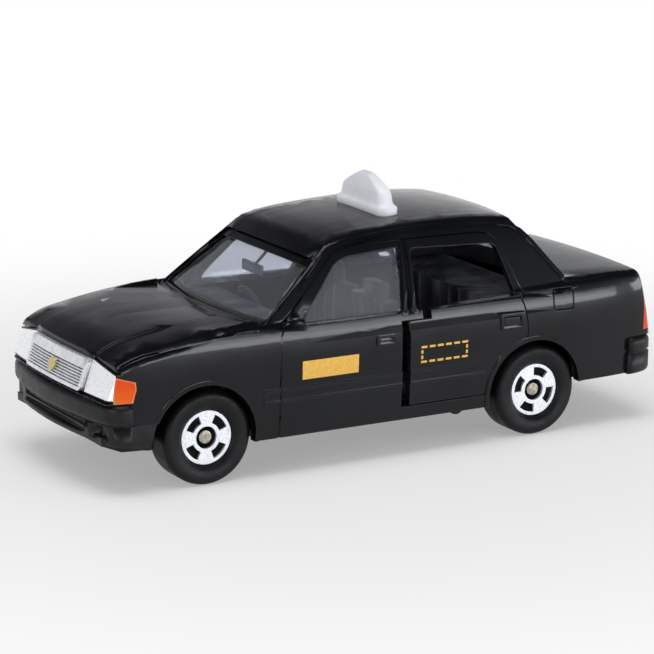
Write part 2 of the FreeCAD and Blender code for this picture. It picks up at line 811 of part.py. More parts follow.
def below_sills():
    """What is open below the sills, behind the rear wheels and under the bumpers."""
    tail_x = rear_axle_x
    nose_x = 0.80 * half_length
    return [
        slab((-far_x, -far_y, -overrun), (far_x, far_y, size("sill_height"))),
        slab((-far_x, -far_y, -overrun), (tail_x, far_y, size("tail_sill_height"))),
        slab((nose_x, -far_y, -overrun), (far_x, far_y, size("bumper_step"))),
        slab((0.887 * half_length, -far_y, -overrun), (far_x, far_y, size("bumper_top"))),
        slab((-far_x, -far_y, -overrun),
             (-0.880 * half_length, far_y, size("tail_bumper_top"))),
    ]


def hinge_lug(low, high, skin):
    """Bearing lug inside the casting's wall for one of the door's pins."""
    lug = Part.makeCylinder(size("hinge_lug_radius"), high - low, Vector(hinge_x, hinge_y, low))
    return lug.common(skin)


def rivet_post(x, top, floor_bottom):
    """Cast post down from the casting's roof, with its riveted head under the base."""
    floor_top = floor_bottom + size("base_thickness")
    post = Part.makeCylinder(size("post_radius"), top - floor_top, Vector(x, 0, floor_top))
    neck = Part.makeCylinder(size("rivet_neck_radius"), size("base_thickness"),
                             Vector(x, 0, floor_bottom))
    head = Part.makeCylinder(size("rivet_head_radius"), size("rivet_head_height"),
                             Vector(x, 0, floor_bottom - size("rivet_head_height")))
    return post.fuse([neck, head])


base_bottom = size("base_bottom")
nose_floor = base_bottom + size("nose_lift")
tail_floor = base_bottom + size("tail_floor_lift")


def body_shell():
    """Zinc casting: bonnet, boot, roof, pillars and the doors that are cast in."""
    sill_lug_top = door_bottom - gap
    sill_lug_low = sill_lug_top - size("hinge_pin_length")
    belt_lug_low = hinge_top + gap
    seams = side_seams()
    cuts = list(arches) + below_sills() + screen_cuts()
    cuts += [corner_zone.cut(inlay_core), mirror(corner_zone).cut(inlay_core)]
    cuts += [headlamp_zone.cut(inlay_core), mirror(headlamp_zone).cut(inlay_core)]
    cuts += [grille_zone.cut(inlay_core), tail_zone.cut(inlay_core), mirror(tail_zone).cut(inlay_core)]
    cuts += seams + [mirror(seam) for seam in seams]
    cuts += [fuel_flap_seam(), end_seams(), mirror(rear_handle_pan)]
    right_door_seam = door_gap_zone(door_outline, size("groove_width")).cut([door_zone, seam_core])
    cuts += [opening_zone, mirror(right_door_seam)]
    for opening in (front_window.extrude(side_reach), rear_window.extrude(side_reach)):
        cuts += [opening, mirror(opening)]
    cuts.append(end_opening(backlight, -nose_reach))
    extra = [
        rivet_post(size("front_post_x"), 0.96 * belt, nose_floor),
        rivet_post(size("rear_post_x"), 1.07 * belt, tail_floor),
        hinge_lug(sill_lug_low, sill_lug_top, outer_lower),
        hinge_lug(belt_lug_low, belt_lug_low + size("hinge_pin_length"), outer_lower),
        surround(),
    ]
    shell = skin.cut(cuts).fuse(extra)
    pin_hole = Part.makeCylinder(
        size("hinge_pin_radius") + size("hinge_clearance"), belt,
        Vector(hinge_x, hinge_y, sill_lug_low))
    pin_hole = pin_hole.common(slab((-far_x, 0, 0), (far_x, far_y, belt_lug_low
                                                     + size("hinge_pin_length") - gap)))
    return shell.cut(pin_hole)


def rear_door():
    """The left rear door: a panel as thick as the casting with its upright hinge post."""
    panel = skin.common(door_zone).cut(rear_handle_pan)
    low = door_bottom
    post = Part.makeCylinder(size("hinge_post_radius"), hinge_top - low,
                             Vector(hinge_x, hinge_y, low))
    pin_low = low - gap - 0.8 * size("hinge_pin_length")
    pin_high = hinge_top + gap + 0.75 * size("hinge_pin_length")
    pin = Part.makeCylinder(size("hinge_pin_radius"), pin_high - pin_low,
                            Vector(hinge_x, hinge_y, pin_low))
    return panel.fuse([post, pin])


feature("body_shell", body_shell())
feature("rear_door_left", rear_door())
for side_name, turn in (("left", lambda shape: shape), ("right", mirror)):
    feature(f"headlamp_{side_name}", turn(inlay(headlamp_zone)))
    feature(f"corner_lamp_{side_name}", turn(inlay(corner_zone)))
    feature(f"tail_lamp_{side_name}", turn(inlay(tail_zone)))


def front_grille():
    """Grille standing proud of the nose: surround, thick top bar and fine bars with ribs."""
    proud = within_ends(-size("grille_proud"))
    deep = within_ends(size("grille_slot_depth"))
    outline = across_points(
        [(-0.96 * grille_side, lamp_bottom), (0.96 * grille_side, lamp_bottom),
         (grille_side, grille_top), (-grille_side, grille_top)], nose_mid_x)
    run = Vector(far_x - nose_mid_x, 0, 0)
    block = Part.Face(rounded_wire(outline, size("grille_round"))).extrude(run)
    block = block.common(proud).cut(inlay_core)
    half = 0.96 * grille_side - size("grille_rim")
    low = lamp_bottom + size("grille_rim")
    high = grille_top - size("grille_top_bar")
    pitch = (high - low) / 7
    slots = [slab((nose_mid_x, -half, low + index * pitch),
                  (far_x, half, low + (index + 0.55) * pitch)) for index in range(7)]
    ribs = [slab((nose_mid_x, share * half, low),
                 (far_x, share * half + size("grille_rib"), high))
            for share in (-0.72, -0.43, -0.14, 0.13, 0.42, 0.71)]
    ribs = ribs[0].fuse(ribs[1:]).common(within_ends(-0.3 * size("grille_proud")))
    return block.cut(slots[0].fuse(slots[1:]).cut([deep, ribs]))


feature("front_grille", front_grille())


def base_plate():
    """Plastic base with both bumpers, the axle cheeks and the riveting holes."""
    thick = size("base_thickness")
    profile = [
        (-0.96 * half_length, tail_floor), (-0.64 * half_length, tail_floor),
        (-0.42 * half_length, base_bottom), (0.70 * half_length, base_bottom),
        (0.78 * half_length, nose_floor), (0.90 * half_length, nose_floor),
        (0.96 * half_length, nose_floor + 0.8 * size("bumper_rise")),
    ]
    upper = [(x, z + thick) for x, z in reversed(profile)]
    floor = side_prism(profile + upper, -far_y, far_y).common(
        within_flanks(wall + size("base_side_gap")))
    wheel_inner = size("wheel_outer_face") - size("wheel_width")
    well_reach = wheel_radius + overrun / 2
    cheek_outer = wheel_inner - size("cheek_side_gap")
    cheek_inner = cheek_outer - size("cheek_width")
    cheeks = []
    cuts = []
    for axle_x in (front_axle_x, rear_axle_x):
        for side in (1, -1):
            low_y, high_y = sorted((side * cheek_inner, side * cheek_outer))
            cheeks.append(slab((axle_x - size("cheek_length") / 2, low_y, base_bottom),
                               (axle_x + size("cheek_length") / 2, high_y,
                                base_bottom + thick + size("cheek_height"))))
            low_y, high_y = sorted((side * cheek_outer, side * far_y))
            cuts.append(slab((axle_x - well_reach, low_y, -overrun),
                             (axle_x + well_reach, high_y, 2 * wheel_radius)))
        cuts.append(Part.makeCylinder(size("axle_radius") + size("axle_clearance"), 2 * far_y,
                                      Vector(axle_x, -far_y, wheel_radius), Vector(0, 1, 0)))
    for post_x, under in ((size("front_post_x"), nose_floor),
                          (size("rear_post_x"), tail_floor)):
        cuts.append(Part.makeCylinder(size("rivet_neck_radius") + size("hinge_clearance"),
                                      3 * thick, Vector(post_x, 0, under - thick)))
    lug_y = half_width - wall - size("base_side_gap") - size("lug_length")
    lug = Part.makeCylinder(size("lug_radius"), size("lug_length"),
                            Vector(size("lug_x"), lug_y, size("lug_lift")), Vector(0, 1, 0))
    lug = lug.common(slab((-far_x, 0, 0), (far_x, half_width - 2 * wall, base_bottom + thick)))
    plate = floor.fuse(cheeks + [lug]).fuse([front_bumper(), rear_bumper()])
    return plate.cut(cuts)


FRONT_BUMPER_SHARES = [
    (0.800, 0.998), (0.890, 0.990), (0.925, 0.965), (0.950, 0.900), (0.967, 0.780),
    (0.983, 0.560), (0.995, 0.280), (1.000, 0.000),
]
REAR_BUMPER_SHARES = [
    (-0.870, 0.975), (-0.935, 0.955), (-0.972, 0.890), (-0.985, 0.800), (-0.992, 0.600),
    (-0.998, 0.300), (-1.000, 0.000),
]


def bumper_wire(shares, height, inset):
    """A bumper's outline seen from above, moved in square to itself, and closed at the back."""
    half = [Vector(x * half_length, y * half_width, 0) for x, y in shares]
    outline = half + [Vector(point.x, -point.y, 0) for point in reversed(half[:-1])]
    points = []
    for index, point in enumerate(outline):
        before = outline[max(index - 1, 0)]
        after = outline[min(index + 1, len(outline) - 1)]
        along = (after - before).normalize()
        inwards = Vector(along.y, -along.x, 0)
        if inwards.dot(point) > 0:
            inwards = -inwards
        moved = point + inwards * inset
        points.append(Vector(moved.x, moved.y, height))
    curve = Part.BSplineCurve()
    curve.interpolate(points)
    back = Part.LineSegment(points[-1], points[0])
    return Part.Wire([curve.toShape(), back.toShape()])


def bumper_block(shares, levels):
    """Bumper form through its outlines at several heights, each with its inset."""
    wires = [bumper_wire(shares, height, inset) for height, inset in levels]
    return Part.makeLoft(wires, True, True)


def rounded_levels(low, high, radius, inset):
    """Heights and insets of a band whose upper and lower edges are rounded."""
    turns = [math.radians(90 * step / 5) for step in range(6)]
    lower = [(low + radius * (1 - math.cos(turn)), inset + radius * (1 - math.sin(turn)))
             for turn in turns]
    upper = [(high - radius * (1 - math.cos(turn)), inset + radius * (1 - math.sin(turn)))
             for turn in reversed(turns)]
    return lower + upper


def stadium_cut(centre, half_span, radius, reach):
    """Recess tool with round ends: long across the car, pushed in along it."""
    parts = [slab((centre.x, centre.y - half_span + radius, centre.z - radius),
                  (centre.x + reach, centre.y + half_span - radius, centre.z + radius))]
    for end in (-1, 1):
        parts.append(Part.makeCylinder(radius, reach, centre + Vector(
            0, end * (half_span - radius), 0), Vector(1, 0, 0)))
    return parts[0].fuse(parts[1:])


def front_bumper():
    """Front bumper: a fuller roll above the step, a valance with slot and lamp recesses below."""
    step = size("bumper_step")
    top = size("bumper_top")
    low = size("bumper_bottom")
    inset = size("bumper_inset")
    nose_back = 0.889 * half_length
    roll = bumper_block(FRONT_BUMPER_SHARES, rounded_levels(step, top, size("bumper_round"), 0))
    roll = roll.common(slab((nose_back, -far_y, 0), (far_x, far_y, far_x)))
    valance = bumper_block(FRONT_BUMPER_SHARES, [
        (low, 1.6 * inset), (low + 0.4 * (step - low), inset), (step, inset)])
    core = bumper_block(FRONT_BUMPER_SHARES, [(step - inset, 2 * inset), (step + inset, 2 * inset)])
    core = core.common(slab((nose_back, -far_y, 0), (far_x, far_y, far_x)))
    inside = bumper_block(FRONT_BUMPER_SHARES, [
        (low - overrun, size("bumper_wall")), (far_x, size("bumper_wall"))])
    slot_half = 0.563 * half_width
    slot = slab((0.965 * half_length, -slot_half, 0.390 * belt),
                (far_x, slot_half, 0.470 * belt))
    bar = slab((0.955 * half_length, -slot_half, 0.424 * belt),
               (0.974 * half_length, slot_half, 0.438 * belt))
    recesses = [
        stadium_cut(Vector(0.945 * half_length, side * 0.785 * half_width, 0.425 * belt),
                    0.12 * half_width, 0.045 * belt, far_x - 0.945 * half_length)
        for side in (1, -1)
    ]
    rise = size("bumper_rise")
    under = side_prism([(0.78 * half_length, low - overrun), (0.78 * half_length, low),
                        (0.83 * half_length, low), (half_length, low + rise),
                        (far_x, low + rise), (far_x, low - overrun)], -far_y, far_y)
    solid = roll.fuse([valance, core]).cut([inside, slot, under] + recesses)
    return solid.fuse(bar).cut(arches[0])


def rear_bumper():
    """Rear bumper: one roll round the tail with a groove at half height."""
    low = size("tail_bumper_bottom")
    top = size("tail_bumper_top")
    middle = low + 0.6 * (top - low)
    width = size("groove_width")
    radius = size("bumper_round")
    levels = rounded_levels(low, top, radius, 0)
    groove = [(middle - width, 0), (middle - width / 2, width), (middle + width / 2, width),
              (middle + width, 0)]
    half = len(levels) // 2
    levels = levels[:half] + groove + levels[half:]
    roll = bumper_block(REAR_BUMPER_SHARES, levels)
    roll = roll.common(slab((-far_x, -far_y, 0), (-0.882 * half_length, far_y, far_x)))
    inside = bumper_block(REAR_BUMPER_SHARES, [
        (low + size("base_thickness"), size("bumper_wall")), (far_x, size("bumper_wall"))])
    return roll.cut(inside)


def glazing():
    """One clear moulding behind the window openings, with a pad that fills each opening."""
    clear = size("glass_gap")
    outer = clear + wall
    pads = [end_opening(grown(windscreen, -clear), nose_reach),
            end_opening(grown(backlight, -clear), -nose_reach)]
    for face in (front_window, rear_window):
        pads.append(grown(face, -clear).extrude(side_reach))
        pads.append(mirror(pads[-1]))
    depth = size("pad_depth")
    pad_body = under_roof(depth).common(within_cabin_sides(depth)).common(
        within_screens(recess + clear))
    moulding = cabin_body(outer).fuse(pads[0].fuse(pads[1:]).common(pad_body))
    inner = cabin_body(outer + size("glass_thickness"))
    open_side = slab((-0.56 * half_length, 0.35 * half_width, 0),
                     (-0.045 * half_length, far_y, far_x))
    return above(belt - wall / 2, moulding).cut([inner, open_side])


def bound(kind, name, **expressions):
    """A document primitive whose sizes follow the sheet."""
    item = doc.addObject(kind, name)
    for prop, expression in expressions.items():
        path = prop.replace("__", ".")
        item.setExpression(path if path[0].isupper() else "." + path, expression)
    return item


def place(item, x, y, z, axis=None, degrees=0.0):
    """Bind a primitive's place to the sheet, turned about an axis if one is given."""
    if axis:
        item.Placement = Placement(Vector(), Rotation(axis, degrees))
    for letter, expression in (("x", x), ("y", y), ("z", z)):
        item.setExpression(f".Placement.Base.{letter}", expression)
    return item


def box(name, low, spans):
    """Box from its low corner and its three spans, all as expressions."""
    item = bound("Part::Box", name, Length=spans[0], Width=spans[1], Height=spans[2])
    return place(item, *low)


def along_y(name, radius, length, x, y, z):
    """Cylinder that lies across the car, from y outwards to the left."""
    item = bound("Part::Cylinder", name, Radius=radius, Height=length)
    return place(item, x, y, z, Vector(1, 0, 0), -90)


def joined(kind, name, items):
    """Fuse of several objects, or the first less the others."""
    if kind == "fuse":
        item = doc.addObject("Part::MultiFuse", name)
        item.Shapes = items
        return item
    tools = items[1]
    if len(items) > 2:
        tools = joined("fuse", name + "_tools", items[1:])
    item = doc.addObject("Part::Cut", name)
    item.Base = items[0]
    item.Tool = tools
    return item


def wheel(corner, axle_x, side):
    """Black plastic wheel: rounded tyre, dished face and a bore for the axle."""
    bore = "sizes.axle_radius + sizes.axle_clearance"
    body = doc.addObject("PartDesign::Body", f"wheel_{corner}")
    body.Label = f"wheel_{corner}"
    seat = "sizes.wheel_width - sizes.disc_recess - sizes.disc_thickness"
    corners = [
        (bore, "0"), ("sizes.wheel_radius", "0"), ("sizes.wheel_radius", "sizes.wheel_width"),
        ("sizes.dish_radius", "sizes.wheel_width"),
        ("sizes.disc_radius", "sizes.wheel_width - sizes.disc_recess"),
        ("sizes.disc_radius", seat), ("sizes.hub_radius", seat),
        ("sizes.hub_radius", f"{seat} - sizes.hub_recess"), (bore, f"{seat} - sizes.hub_recess"),
    ]
    profile = polygon_sketch(body, f"profile_{corner}", "XY_Plane", corners)
    turned = body.newObject("PartDesign::Revolution", f"turned_{corner}")
    turned.Profile = profile
    turned.ReferenceAxis = (profile, ["V_Axis"])
    turned.Angle = 360.0
    doc.recompute()
    rims = [f"Edge{i}" for i, edge in enumerate(turned.Shape.Edges, start=1)
            if edge.Curve.TypeId == "Part::GeomCircle"
            and abs(edge.Curve.Radius - wheel_radius) < size("tyre_round")]
    rounded = body.newObject("PartDesign::Fillet", f"rounded_{corner}")
    rounded.Base = (turned, rims)
    rounded.setExpression("Radius", "sizes.tyre_round")
    body.Tip = rounded
    body.Placement = Placement(Vector(), Rotation(Vector(0, 0, 1), 0 if side > 0 else 180))
    face_y = "sizes.wheel_outer_face - sizes.wheel_width"
    body.setExpression(".Placement.Base.x", axle_x)
    body.setExpression(".Placement.Base.y", face_y if side > 0 else f"-({face_y})")
    body.setExpression(".Placement.Base.z", "sizes.wheel_radius")
    return body


def polygon_sketch(body, name, role, corners):
    """Closed polygon on one of the body's planes; each corner is bound by two expressions."""
    sketch = body.newObject("Sketcher::SketchObject", name)
    plane = next(item for item in body.Origin.OriginFeatures if item.Role == role)
    sketch.AttachmentSupport = [(plane, "")]
    sketch.MapMode = "FlatFace"
    points = [Vector(amount(x), amount(y), 0) for x, y in corners]
    count = len(points)
    for index in range(count):
        sketch.addGeometry(Part.LineSegment(points[index], points[(index + 1) % count]), False)
    for index in range(count):
        sketch.addConstraint(
            Sketcher.Constraint("Coincident", index, 2, (index + 1) % count, 1))
    for index, (across, up) in enumerate(corners):
        for kind, expression, axis in (("DistanceX", across, -2), ("DistanceY", up, -1)):
            if expression == "0":
                sketch.addConstraint(Sketcher.Constraint("PointOnObject", index, 1, axis))
                continue
            number = sketch.addConstraint(
                Sketcher.Constraint(kind, -1, 1, index, 1, amount(expression)))
            sketch.setExpression(f"Constraints[{number}]", expression)
    return sketch


def amount(expression):
    """The present value of an expression."""
    answer = sheet.evalExpression(expression)
    return float(getattr(answer, "Value", answer))


def wheel_face(corner, axle_x, side, turn):
    """Silver four-spoke face, seated in the wheel's dish."""
    name = f"wheel_face_{corner}"
    low = ("sizes.wheel_outer_face - sizes.disc_recess - sizes.disc_thickness")
    start = low if side > 0 else "-(sizes.wheel_outer_face - sizes.disc_recess)"
    disc = along_y(f"disc_{corner}", "sizes.disc_radius - sizes.axle_clearance",
                   "sizes.disc_thickness", axle_x, start, "sizes.wheel_radius")
    hub = along_y(f"hub_hole_{corner}", "sizes.hub_radius", "sizes.disc_thickness", axle_x, start,
                  "sizes.wheel_radius")
    windows = []
    for quarter in range(4):
        sector = along_y(f"window_{corner}_{quarter}", "sizes.window_outer_radius",
                         "sizes.disc_thickness", axle_x, start, "sizes.wheel_radius")
        sector.setExpression("Angle", "sizes.window_angle")
        sector.Placement = Placement(
            sector.Placement.Base,
            Rotation(Vector(0, 1, 0), turn + 90 * quarter) * Rotation(Vector(1, 0, 0), -90))
        windows.append(sector)
    web = along_y(f"window_core_{corner}", "sizes.window_inner_radius", "sizes.disc_thickness",
                  axle_x, start, "sizes.wheel_radius")
    cutters = joined("cut", f"windows_{corner}",
                     [joined("fuse", f"sectors_{corner}", windows), web])
    item = joined("cut", name, [disc, hub, cutters])
    item.Label = name
    return item


def axle(name, axle_x):
    """Steel axle with a flat head at each end."""
    head_y = ("sizes.wheel_outer_face - sizes.disc_recess - sizes.disc_thickness"
              " - sizes.hub_recess + sizes.axle_clearance")
    shaft = along_y(f"{name}_shaft", "sizes.axle_radius", f"2 * ({head_y})", axle_x,
                    f"-({head_y})", "sizes.wheel_radius")
    left = along_y(f"{name}_head_left", "sizes.axle_head_radius", "sizes.axle_head_length",
                   axle_x, head_y, "sizes.wheel_radius")
    right = along_y(f"{name}_head_right", "sizes.axle_head_radius", "sizes.axle_head_length",
                    axle_x, f"-({head_y} + sizes.axle_head_length)", "sizes.wheel_radius")
    item = joined("fuse", name, [shaft, left, right])
    item.Label = name
    return item


def cabin_moulding():
    """Floor with the two front seats, the rear bench, the dashboard and the steering wheel."""
    wide = "sizes.cabin_half_width"
    floor_z = "sizes.cabin_floor"
    thick = "sizes.cabin_floor_thickness"
    back = "sizes.seat_back_thickness"
    pieces = [box("cabin_floor", ("sizes.bench_back_x - sizes.seat_back_thickness", f"-{wide}",
                                  floor_z),
                  ("sizes.dash_x + sizes.dash_length - sizes.bench_back_x"
                   " + sizes.seat_back_thickness", f"2 * {wide}", thick))]
    for side_name, low_y in (("left", "sizes.seat_gap / 2"),
                             ("right", "-sizes.seat_gap / 2 - sizes.seat_width")):
        pieces.append(box(f"seat_cushion_{side_name}", ("sizes.seat_back_x", low_y, floor_z),
                          ("sizes.seat_depth", "sizes.seat_width",
                           "sizes.seat_top - sizes.cabin_floor")))
        pieces.append(box(f"seat_back_{side_name}", (f"sizes.seat_back_x - {back}", low_y, floor_z),
                          (back, "sizes.seat_width", "sizes.seat_back_top - sizes.cabin_floor")))
        pieces.append(box(
            f"headrest_{side_name}",
            (f"sizes.seat_back_x - {back} * 0.85",
             f"{low_y} + (sizes.seat_width - sizes.headrest_width) / 2", "sizes.seat_back_top"),
            (f"{back} * 0.7", "sizes.headrest_width", "sizes.headrest_height")))
    pieces.append(box("bench_cushion", ("sizes.bench_back_x", f"-{wide}", floor_z),
                      ("sizes.bench_depth", f"2 * {wide}", "sizes.seat_top - sizes.cabin_floor")))
    pieces.append(box("bench_back", (f"sizes.bench_back_x - {back}", f"-{wide}", floor_z),
                      (back, f"2 * {wide}", "sizes.seat_back_top - sizes.cabin_floor")))
    pieces.append(box("dashboard", ("sizes.dash_x", f"-{wide}", floor_z),
                      ("sizes.dash_length", f"2 * {wide}", "sizes.dash_top - sizes.cabin_floor")))
    rib_run = ("sizes.seat_rib_height", "sizes.seat_rib_width",
               "sizes.seat_back_top - sizes.seat_top")
    for index, share in enumerate((-0.85, -0.65, -0.45, -0.25, 0.17, 0.37, 0.57, 0.77)):
        pieces.append(box(f"seat_rib_{index}",
                          ("sizes.seat_back_x", f"{share} * {wide}", "sizes.seat_top"), rib_run))
        pieces.append(box(f"bench_rib_{index}",
                          ("sizes.bench_back_x", f"{share} * {wide}", "sizes.seat_top"), rib_run))
    pieces.append(box("parcel_shelf",
                      (f"sizes.bench_back_x - {back} - sizes.shelf_length", f"-{wide}",
                       "sizes.seat_back_top - sizes.shelf_height"),
                      ("sizes.shelf_length", f"2 * {wide}", "sizes.shelf_height")))
    tilt = size("column_tilt")
    column = bound("Part::Cylinder", "steering_column", Radius="2 * sizes.wheel_rim_thickness",
                   Height="sizes.column_length")
    place(column, "sizes.dash_x + sizes.dash_length / 4", "-sizes.seat_gap / 2 - sizes.seat_width / 2",
          "sizes.dash_top - sizes.wheel_rim_radius", Vector(0, 1, 0), -tilt)
    rim = bound("Part::Torus", "steering_rim", Radius1="sizes.wheel_rim_radius",
                Radius2="sizes.wheel_rim_thickness")
    place(rim, "sizes.dash_x + sizes.dash_length / 4 - sizes.column_length * sin(sizes.column_tilt)",
          "-sizes.seat_gap / 2 - sizes.seat_width / 2",
          "sizes.dash_top - sizes.wheel_rim_radius + sizes.column_length * cos(sizes.column_tilt)",
          Vector(0, 1, 0), -tilt)
    spoke = bound("Part::Cylinder", "steering_spokes", Radius="sizes.wheel_rim_radius",
                  Height="sizes.wheel_rim_thickness")
    place(spoke, "sizes.dash_x + sizes.dash_length / 4 - sizes.column_length * sin(sizes.column_tilt)",
          "-sizes.seat_gap / 2 - sizes.seat_width / 2",
          "sizes.dash_top - sizes.wheel_rim_radius + sizes.column_length * cos(sizes.column_tilt)",
          Vector(0, 1, 0), -tilt)
    wells = [
        box(f"cabin_well_{side_name}",
            ("sizes.axle_middle - sizes.wheel_base / 2 - sizes.wheel_radius - sizes.well_gap", low_y,
             "-sizes.overrun"),
            ("2 * (sizes.wheel_radius + sizes.well_gap)", "sizes.width_overall / 2",
             "2 * sizes.wheel_radius + sizes.well_gap + sizes.overrun"))
        for side_name, low_y in (
            ("left", "sizes.wheel_outer_face - sizes.wheel_width - sizes.well_gap"),
            ("right", "-sizes.width_overall / 2 - (sizes.wheel_outer_face - sizes.wheel_width"
                      " - sizes.well_gap)"))
    ]
    solid = joined("fuse", "cabin_solid", pieces + [column, rim, spoke])
    item = joined("cut", "cabin_moulding", [solid] + wells)
    item.Label = "cabin_moulding"
    return item


def interior_mirror():
    """Mirror on a thin stalk from the top of the windscreen."""
    wide = "sizes.mirror_width"
    plate = box("mirror_plate", ("sizes.mirror_x", f"sizes.mirror_y - {wide} / 2", "sizes.mirror_z"),
                ("sizes.mirror_thickness", wide, "sizes.mirror_height"))
    stalk = bound("Part::Cylinder", "mirror_stalk", Radius="sizes.mirror_stalk_radius",
                  Height="sizes.mirror_stalk_length")
    place(stalk, "sizes.mirror_x + sizes.mirror_thickness / 2", "sizes.mirror_y",
          "sizes.mirror_z + sizes.mirror_height / 2", Vector(0, 1, 0), -size("mirror_stalk_tilt"))
    item = joined("fuse", "interior_mirror", [plate, stalk])
    item.Label = "interior_mirror"
    return item


def roof_sign():
    """White roof sign: a loft from its broad flange to its narrow top, seated on the roof."""
    front = size("sign_front_x")
    length = size("sign_length")
    half = size("sign_half_width")
    roof = size("roof_height")
    flange = size("sign_flange")
    height = size("sign_height")
    levels = [
        (-0.6 * flange, 0.02, 0.985), (0.10 * flange, 0.0, 1.0), (0.75 * flange, 0.0, 1.0),
        (flange, 0.04, 0.975), (1.12 * flange, 0.09, 0.93), (1.5 * flange, 0.12, 0.87),
        (0.54 * height, 0.16, 0.825), (0.61 * height, 0.175, 0.77), (0.75 * height, 0.22, 0.58),
        (0.90 * height, 0.28, 0.34), (0.96 * height, 0.33, 0.24), (height, 0.41, 0.16),
    ]
    wires = []
    for rise, step_share, width_share in levels:
        x_high = front - step_share * length
        x_low = front - length + step_share * length
        reach = width_share * half
        z = roof + rise
        corner = min(0.42 * (x_high - x_low), 0.42 * reach)
        wires.append(rounded_wire(
            [Vector(x_high, -reach, z), Vector(x_high, reach, z),
             Vector(x_low, reach, z), Vector(x_low, -reach, z)], corner))
    return Part.makeLoft(wires, True, True).cut(under_roof(0))


feature("base_plate", base_plate())
feature("glazing", glazing())
for corner, axle_x, side, turn in (
    ("front_left", "sizes.axle_middle + sizes.wheel_base / 2", 1, 20),
    ("front_right", "sizes.axle_middle + sizes.wheel_base / 2", -1, 20),
    ("rear_left", "sizes.axle_middle - sizes.wheel_base / 2", 1, 45),
    ("rear_right", "sizes.axle_middle - sizes.wheel_base / 2", -1, 45),
):
    wheel(corner, axle_x, side)
    wheel_face(corner, axle_x, side, turn)
axle("front_axle", "sizes.axle_middle + sizes.wheel_base / 2")
axle("rear_axle", "sizes.axle_middle - sizes.wheel_base / 2")
cabin_moulding()
interior_mirror()
feature("roof_sign", roof_sign())
badge = Part.makeCylinder(size("badge_radius"), overrun,
                          Vector(0.94 * half_length, 0, 0.75 * belt), Vector(1, 0, 0))
badge_core = within_ends(-size("grille_proud") - size("badge_height"))
feature("grille_badge", badge.common(badge_core).cut(within_ends(-size("grille_proud"))))

SUB_PARTS = [
    "body_shell", "rear_door_left", "glazing", "interior_mirror", "cabin_moulding", "roof_sign",
    "base_plate", "front_grille", "grille_badge", "headlamp_left", "headlamp_right",
    "corner_lamp_left", "corner_lamp_right", "tail_lamp_left", "tail_lamp_right",
    "front_axle", "rear_axle",
]
for corner in ("front_left", "front_right", "rear_left", "rear_right"):
    SUB_PARTS += [f"wheel_{corner}", f"wheel_face_{corner}"]

doc.recompute()
for item in doc.Objects:
    if "Invalid" in item.State or "Error" in item.State:
        raise RuntimeError(f"{item.Label} failed: {item.State}")
os.makedirs("parts", exist_ok=True)
for label in SUB_PARTS:
    found = doc.getObjectsByLabel(label)
    if len(found) != 1:
        raise RuntimeError(f"{label} is not one object")
    shape = found[0].Shape
    if shape.isNull() or not shape.isValid():
        raise RuntimeError(f"{label} has no valid shape")
    shape.exportStep(f"parts/{label}.step")
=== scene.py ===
import math

import bmesh
import bpy
import numpy as np
from mathutils import Matrix, Vector


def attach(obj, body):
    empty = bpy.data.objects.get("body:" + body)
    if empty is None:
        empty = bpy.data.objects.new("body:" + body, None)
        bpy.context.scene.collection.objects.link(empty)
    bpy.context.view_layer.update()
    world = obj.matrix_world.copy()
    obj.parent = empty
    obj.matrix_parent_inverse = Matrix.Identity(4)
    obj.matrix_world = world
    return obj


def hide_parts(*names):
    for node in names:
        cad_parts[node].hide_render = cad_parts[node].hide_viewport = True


# A palm-size die-cast toy taxi: a black enamelled zinc casting on a black plastic base.
# The frame is the car's own: +X its front, +Y its left, +Z up, origin on the ground.
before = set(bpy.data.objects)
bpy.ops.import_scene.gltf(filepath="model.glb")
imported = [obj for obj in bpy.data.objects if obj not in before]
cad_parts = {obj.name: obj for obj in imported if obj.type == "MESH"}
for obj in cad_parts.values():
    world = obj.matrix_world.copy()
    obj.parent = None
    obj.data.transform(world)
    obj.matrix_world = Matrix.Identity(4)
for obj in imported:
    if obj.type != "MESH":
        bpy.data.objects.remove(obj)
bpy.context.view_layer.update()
mm = 0.001
scene = bpy.context.scene
scene.view_settings.view_transform = "Standard"


# Camera: the photograph looks down at the front left corner from a hand's reach away,
# through a long lens. Angles are those of the line from the car to the camera.
camera_turn = math.radians(29.623)
camera_height = math.radians(13.813)
camera_roll = math.radians(0.3195)
camera_distance = 362.8 * mm
camera_target = Vector((1.157, 0.0, 13.005)) * mm
towards_camera = Vector((
    math.sin(camera_turn) * math.cos(camera_height),
    math.cos(camera_turn) * math.cos(camera_height),
    math.sin(camera_height),
))
level_right = Vector((-math.cos(camera_turn), math.sin(camera_turn), 0.0))
level_up = towards_camera.cross(level_right)
camera_right = level_right * math.cos(camera_roll) + level_up * math.sin(camera_roll)
camera_up = level_up * math.cos(camera_roll) - level_right * math.sin(camera_roll)
camera_data = bpy.data.cameras.new("photo_camera")
camera_data.sensor_width = 36.0
camera_data.lens = 167.04
camera = bpy.data.objects.new("photo_camera", camera_data)
scene.collection.objects.link(camera)
axes = Matrix((camera_right, camera_up, towards_camera)).transposed()
camera.matrix_world = Matrix.Translation(
    camera_target + towards_camera * camera_distance) @ axes.to_4x4()
scene.camera = camera


# Studio: a pale paper table. Soft lamps stand low on the car's left, brightest near the table,
# with smaller ones at its corners, in front and overhead, whose reflections draw the shoulders.
# The room is white at eye level and greyer towards the ceiling, which shades the enamel.
def linear(code):
    """Colour from its sRGB hex code, as linear red, green, blue and an alpha of 1."""
    shares = [int(code[i:i + 2], 16) / 255 for i in (0, 2, 4)]
    return [v / 12.92 if v <= 0.04045 else ((v + 0.055) / 1.055) ** 2.4 for v in shares] + [1.0]


